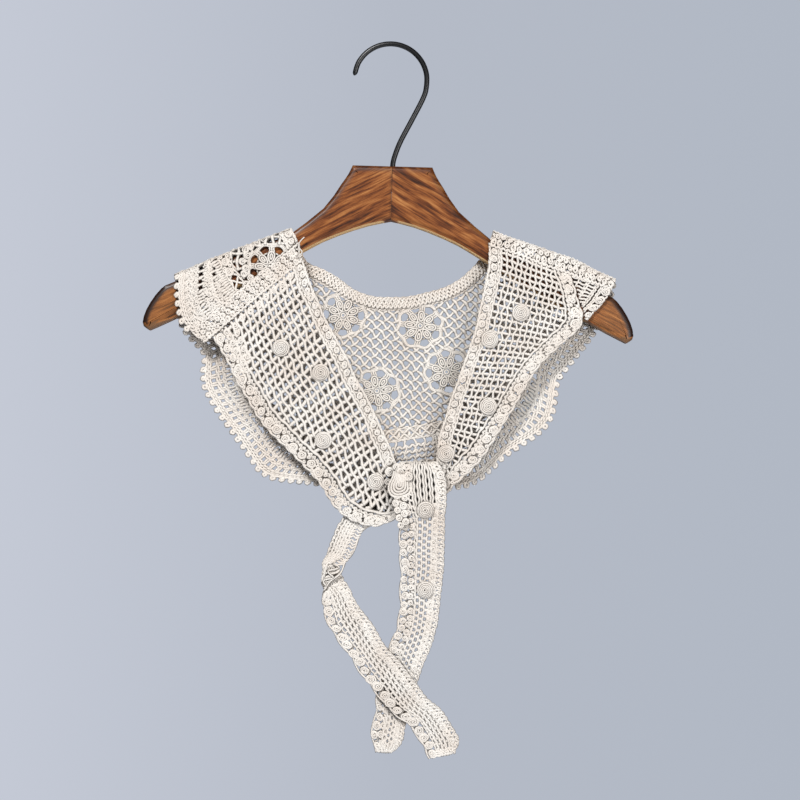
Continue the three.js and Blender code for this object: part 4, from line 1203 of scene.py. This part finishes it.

# %% [markdown]
# ## Hanger
# The two boards of the hanger keep the shape of the solid model. Its solids are copied, their corners joined and the
# faces shaded smooth, with flat faces kept flat by weighted normals. A rim is inset in the flat faces, and each corner
# is told how near an edge it lies: below 0 at upper edges and at the joint, where the stain gathers, and above 0 at
# lower edges, which the finish makes lighter, as stain rubbed thin with a painted highlight on it.
# The finish reads this.

# %% Boards
RIM = 0.003  # m inset in the flat faces
JOINT = 0.0004  # half of the gap between the boards, which is closed to a tenth so that no light comes through


def smooth_copy(node, name):
    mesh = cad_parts[node].data.copy()
    shape = bmesh.new()
    shape.from_mesh(mesh)
    bmesh.ops.remove_doubles(shape, verts=shape.verts, dist=1e-6)
    bmesh.ops.dissolve_limit(shape, angle_limit=math.radians(0.5), verts=shape.verts, edges=shape.edges)
    for vert in shape.verts:
        if abs(vert.co.x) < JOINT:
            vert.co.x *= 0.1
    flats = [face for face in shape.faces if abs(face.normal.y) > 0.99]
    bmesh.ops.inset_individual(shape, faces=flats, thickness=RIM, depth=0.0, use_even_offset=True)
    shape.normal_update()
    layer = shape.verts.layers.float.new("edge")
    in_flats = {vert for face in flats for vert in face.verts}
    for vert in shape.verts:
        near = abs(vert.co.x)
        if vert in in_flats or 0.0011 <= near < 0.0045 and abs(vert.normal.z) < 0.4:
            vert[layer] = 0.0
        else:
            vert[layer] = 1.0 if vert.normal.z < -0.2 and near >= 0.0011 else -1.0
    print(name, "corners:", len(shape.verts), "flat faces:", len(flats))
    for edge in shape.edges:
        edge.smooth = edge.calc_face_angle(0.0) < math.radians(50)
    for face in shape.faces:
        face.smooth = True
    shape.to_mesh(mesh)
    shape.free()
    piece = new_object(name, mesh)
    piece.modifiers.new("flat faces stay flat", "WEIGHTED_NORMAL").keep_sharp = True
    return piece


boards = {side: smooth_copy(f"hanger_half_{side}", f"board_{side}") for side in ("left", "right")}

# %% [markdown]
# The hook is a bent wire. Its path is the solid model's, drawn as a curve with a round section.

# %% Hook
HOOK_CENTRE, HOOK_RADIUS, WIRE_RADIUS = (-0.4, -26.3), 28.3, 2.0
bends = [math.radians(degrees) for degrees in range(172, -13, -23)]
hook_rows = [(HOOK_CENTRE[0] + HOOK_RADIUS * math.cos(a), 0, HOOK_CENTRE[1] + HOOK_RADIUS * math.sin(a)) for a in bends]
neck = ((24.5, -41), (16.2, -57), (7.2, -74), (2.6, -86), (1.3, -93), (0.9, -103), (0.7, -112.5))
hook_rows += [(x, 0, z) for x, z in neck]
hook_radius = np.full(150, WIRE_RADIUS)
hook_radius[:4] = WIRE_RADIUS * np.sqrt(1 - (1 - np.array([0.05, 0.35, 0.7, 0.95])) ** 2)  # a rounded end
hook_line = curve_through(hook_rows)(np.linspace(0, len(hook_rows) - 1, 150))
hook = make_piece("hook_wire", [(hook_line, hook_radius, False)], sides=6)

# %% [markdown]
# ## Finishes
# Cotton yarn is matt, pale and warm. Its plies turn round each other, and a faint fuzz catches light at a grazing
# angle, which is what sheen is for. Places between strands, which see little of the sky, get a painted shade from an
# occlusion node, and the flanks of each strand get a painted shade too. The wood is a stained softwood under a thin
# satin varnish, dark along its grain and nearly burnt at the ends; its lower edges are lighter, where the stain is
# rubbed thin and a highlight is painted, and a painted highlight lies near its ends. The hook is steel wire with a
# satin black coat.

# %% Colours and nodes
def linear(code):
    parts = [int(code[i : i + 2], 16) / 255 for i in (1, 3, 5)]
    return (*(c / 12.92 if c <= 0.04045 else ((c + 0.055) / 1.055) ** 2.4 for c in parts), 1.0)


class Nodes:
    """Adds nodes to a tree. Each call gives the output to go on with."""

    def __init__(self, tree):
        self.tree = tree

    def set(self, node, values):
        for socket, value in values.items():
            if isinstance(value, bpy.types.NodeSocket):
                self.tree.links.new(value, node.inputs[socket])
            else:
                node.inputs[socket].default_value = value

    def add(self, kind, inputs=None, out=0, **settings):
        node = self.tree.nodes.new("ShaderNode" + kind)
        for key, value in settings.items():
            setattr(node, key, value)
        self.set(node, inputs or {})
        return node.outputs[out]

    def noise(self, place, scale, detail=2.0, roughness=0.5, out=0):
        return self.add("TexNoise", {"Vector": place, "Scale": scale, "Detail": detail, "Roughness": roughness}, out)

    def span(self, value, low, high, to_low=0.0, to_high=1.0):
        return self.add("MapRange", {"Value": value, "From Min": low, "From Max": high, "To Min": to_low,
                                     "To Max": to_high})

    def math(self, operation, *values):
        return self.add("Math", dict(enumerate(values)), operation=operation)

    def mix(self, factor, a, b):
        return self.add("Mix", {"Factor": factor, "A": a, "B": b}, 2, data_type="RGBA")

    def bump(self, height, strength, distance, under=None):
        inputs = {"Strength": strength, "Distance": distance, "Height": height}
        return self.add("Bump", inputs if under is None else {**inputs, "Normal": under})

    def ramp(self, factor, *stops):
        colour = self.add("ValToRGB", {"Fac": factor})
        elements = colour.node.color_ramp.elements
        for element, (position, code) in zip(elements, (stops[0], stops[-1])):
            element.position, element.color = position, linear(code)
        for position, code in stops[1:-1]:
            elements.new(position).color = linear(code)
        return colour


class Finish(Nodes):
    def __init__(self, name):
        self.material = bpy.data.materials.new(name)
        self.material.use_nodes = True
        super().__init__(self.material.node_tree)

    def shade(self, values):
        self.set(self.tree.nodes["Principled BSDF"], values)
        return self.material


# %% Cotton yarn: plies 1.6 mm apart along the strand, fuzz of 0.3 mm, cream that varies over centimetres, painted shade on the flanks and between strands
PLY = 1.6  # mm


def cotton(name, pale, warm, shaded, closes):
    """closes is how much of the sky a place sees where its painted shade begins."""
    it = Finish(name)
    place = it.add("TexCoord", out="Object")
    cream = it.ramp(it.noise(place, 45.0, 3.0), (0.3, warm), (0.7, pale))
    facing = it.add("Attribute", out="Vector", attribute_name="facing")
    towards = it.add("VectorMath", {0: it.add("TexCoord", out="Normal"), 1: facing}, "Value", operation="DOT_PRODUCT")
    # Painted shade: where a strand turns away from the way the cloth faces, its colour goes towards the shaded colour.
    painted_flank_shade = it.span(it.math("ABSOLUTE", towards), closes + 0.15, closes - 0.3, to_high=0.85)
    # Painted shade: places that see little of the sky within 22 mm, between strands and under other layers, are
    # darkened.
    open_sky = it.add("AmbientOcclusion", {"Distance": 0.022}, "AO", samples=8)
    dark = it.math("MAXIMUM", painted_flank_shade, it.span(open_sky, closes, closes - 0.5, to_high=0.95))
    turn = it.add("Mapping", {"Vector": it.add("TexCoord", out="UV"), "Scale": (1 / PLY, 1.0, 1.0)})
    plies = it.add("TexWave", {"Vector": turn, "Scale": 0.2 * math.pi}, "Fac", bands_direction="DIAGONAL")
    fuzz = it.noise(place, 1 / 0.0003 / 3)
    return it.shade({"Base Color": it.mix(dark, cream, linear(shaded)), "Roughness": 0.9, "IOR": 1.5,
                     "Specular IOR Level": 0.25, "Sheen Weight": 0.2, "Sheen Roughness": 0.5,
                     "Normal": it.bump(fuzz, 0.3, 0.0002, under=it.bump(plies, 0.35, 0.0003))})


# The three cotton finishes have nearly the same cream and differ in how deep their painted shade is: darkest on the
# open net, lightest on the close braids.
cotton_net = cotton("unbleached cotton yarn, open", "#F6F1EA", "#EADFD4", "#40382F", 0.8)
cotton_edging = cotton("unbleached cotton yarn, edging", "#F6F1EA", "#EADFD4", "#554B42", 0.74)
cotton_braid = cotton("unbleached cotton yarn, close", "#F6F1EA", "#E8DDD2", "#7C7064", 0.6)

# %% Stained wood: the grain runs along each arm, with dark lines 1.5 to 4 mm apart
def stained_wood(name, slope):
    it = Finish(name)
    place = it.add("TexCoord", out="Object")
    arm = it.add("Mapping", {"Vector": place, "Rotation": (0, math.radians(slope), 0)})
    wander = it.noise(arm, 14.0, out="Color")
    bent = it.add("Mix", {"Factor": 0.018, "A": arm, "B": wander}, 1, data_type="VECTOR")
    grain = it.noise(it.add("Mapping", {"Vector": bent, "Scale": (24.0, 120.0, 270.0)}), 1.0, 6.0, 0.62)
    pores = it.noise(it.add("Mapping", {"Vector": arm, "Scale": (40.0, 900.0, 1500.0)}), 1.0, 3.0)
    mixed = it.add("Mix", {"Factor": 0.28, "A": grain, "B": pores}, data_type="FLOAT")
    colour = it.ramp(mixed, (0.36, "#2A1307"), (0.45, "#643212"), (0.52, "#8F5224"), (0.66, "#BE8149"))
    edge = it.add("Attribute", out="Fac", attribute_name="edge")
    out = it.math("ABSOLUTE", it.add("SeparateXYZ", {"Vector": place}))  # distance from the middle
    # Lower edges: lighter where the stain is rubbed thin, with a painted highlight; near the ends they turn dark brown.
    rubbed_edge_and_highlight = it.mix(it.span(out, 0.14, 0.152), linear("#E6BE86"), linear("#5A4334"))
    colour = it.mix(it.span(edge, 0.3, 0.65, to_high=0.85), colour, rubbed_edge_and_highlight)
    # Painted highlight: a lighter tan near the ends of the arms.
    colour = it.mix(it.span(out, 0.148, 0.166, to_high=0.16), colour, linear("#C8935C"))
    dark = it.math("MULTIPLY", it.span(edge, -0.25, -0.95), it.span(out, 0.15, 0.176, 0.45))
    return it.shade({"Base Color": it.mix(dark, colour, linear("#2C1810")), "Roughness": 0.42, "IOR": 1.5,
                     "Specular IOR Level": 0.35, "Coat Weight": 0.15, "Coat Roughness": 0.3,
                     "Normal": it.bump(mixed, 0.25, 0.0003)})


wood = {"left": stained_wood("walnut-stained softwood, left board", 26),
        "right": stained_wood("walnut-stained softwood, right board", -31)}

# %% Black coated steel wire: smooth, with a slight orange-peel of 0.8 mm
coat = Finish("satin black powder coat on steel")
peel = coat.noise(coat.add("TexCoord", out="Object"), 1250.0, 1.0)
black_metal = coat.shade({"Base Color": coat.ramp(peel, (0.3, "#0F1012"), (0.7, "#17181B")), "Roughness": 0.35,
                          "IOR": 1.5, "Normal": coat.bump(peel, 0.08, 0.0001)})

# %% [markdown]
# ## Put each piece on the frame
# Each piece rides on the one body, stands for its solid and gets its finish.

# %% Ride and replace
LOOKS = {"open": (cotton_net, "cotton"), "edging": (cotton_edging, "cotton"), "close": (cotton_braid, "cotton_braid")}


def fit(piece, finish, slot, *nodes):
    piece.data.materials.clear()
    piece.data.materials.append(finish)
    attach(piece, "root")
    if nodes:
        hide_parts(*nodes)
    return piece


for side, board in boards.items():
    fit(board, wood[side], "stained_wood", f"hanger_half_{side}")
fit(hook, black_metal, "black_metal", "hanger_hook")
fit(knot, *LOOKS["open"], "knot_wrap")
fit(swirl, *LOOKS["close"])
for node, (piece, _) in rosettes.items():
    fit(piece, *LOOKS["close"], node)
for node, ((piece, raised), panel, looks, rests_on) in cloth_pieces.items():
    fit(piece, *LOOKS[looks[0]], node)
    on_it = [rosette for rosette, on in rosettes.values() if on == node] + [fit(raised, *LOOKS[looks[1]])]
    on_it += [knot, swirl] if node == "front_tie" else []
    length, area = panel.length, panel.area()

# %% [markdown]
# ## Light, floor and camera
# The light is soft and comes from the upper left in front, as from a large window, with a weaker one from the right
# and one behind so that the back can be seen too. The surroundings that the camera sees are grey-blue with painted
# light, a little lighter to the left; the light that they give is a dim grey. The camera looks straight at the front
# from two metres.

# %% Surroundings and lights
scene = bpy.context.scene
scene.world = bpy.data.worlds.new("grey-blue studio, painted lighter to the left")
scene.world.use_nodes = True
tree = scene.world.node_tree
studio = Nodes(tree)
seen = tree.nodes["Background"]
from_left = studio.add("SeparateXYZ", {"Vector": studio.add("TexCoord", out="Generated")})
# Painted light on the backdrop: the grey-blue that the camera sees is a little lighter to the left.
sky = studio.ramp(studio.span(from_left, -0.16, 0.16), (0.0, "#C5CAD6"), (0.5, "#B5BBC7"), (1.0, "#B1B8C4"))
studio.set(seen, {"Color": sky})
room = studio.add("Background", {"Color": linear("#C2C4C8"), "Strength": 0.1})
rays = studio.add("LightPath", out="Is Camera Ray")
either = studio.add("MixShader", {0: rays, 1: room, 2: seen.outputs["Background"]})
studio.set(tree.nodes["World Output"], {"Surface": either})
MIDDLE = Vector((0.0, 0.0, -0.3))


def soft_light(name, place, size, power, glossy=True):
    light = bpy.data.lights.new(name, "AREA")
    light.size, light.energy = size, power
    lamp = new_object(name, light)
    lamp.visible_glossy = glossy
    aim = (MIDDLE - Vector(place)).to_track_quat("-Z", "Y").to_matrix().to_4x4()
    lamp.matrix_world = Matrix.Translation(place) @ aim


soft_light("window_light", (-0.75, -1.75, 1.25), 0.42, 50)
soft_light("right_fill", (1.3, -1.8, -0.5), 1.2, 27)
soft_light("light_from_behind", (0.6, 1.9, 0.4), 1.4, 75, False)  # it draws no bright rims on the wood

# %% Floor, well below the hanger
floor_shape = bmesh.new()
bmesh.ops.create_circle(floor_shape, cap_ends=True, segments=96, radius=1.5)
bmesh.ops.translate(floor_shape, verts=floor_shape.verts, vec=(0, 0, -1.2))
floor_mesh = bpy.data.meshes.new("floor")
floor_shape.to_mesh(floor_mesh)
floor_shape.free()
floor = new_object("floor", floor_mesh)
paint = Finish("pale matt floor paint")
speckle = paint.ramp(paint.noise(paint.add("TexCoord", out="Object"), 30.0), (0.3, "#B9BDC4"), (0.7, "#BFC3C9"))
floor_mesh.materials.append(paint.shade({"Base Color": speckle, "Roughness": 0.8}))

# %% Camera
lens = bpy.data.cameras.new("camera")
lens.lens, lens.sensor_width = 116.3, 36.0
camera = new_object("camera", lens)
camera.matrix_world = Matrix.Translation((0.007, -2.0, -0.2736)) @ Matrix.Rotation(math.radians(90), 4, "X")
scene.camera = camera
scene.view_settings.view_transform = "Standard"
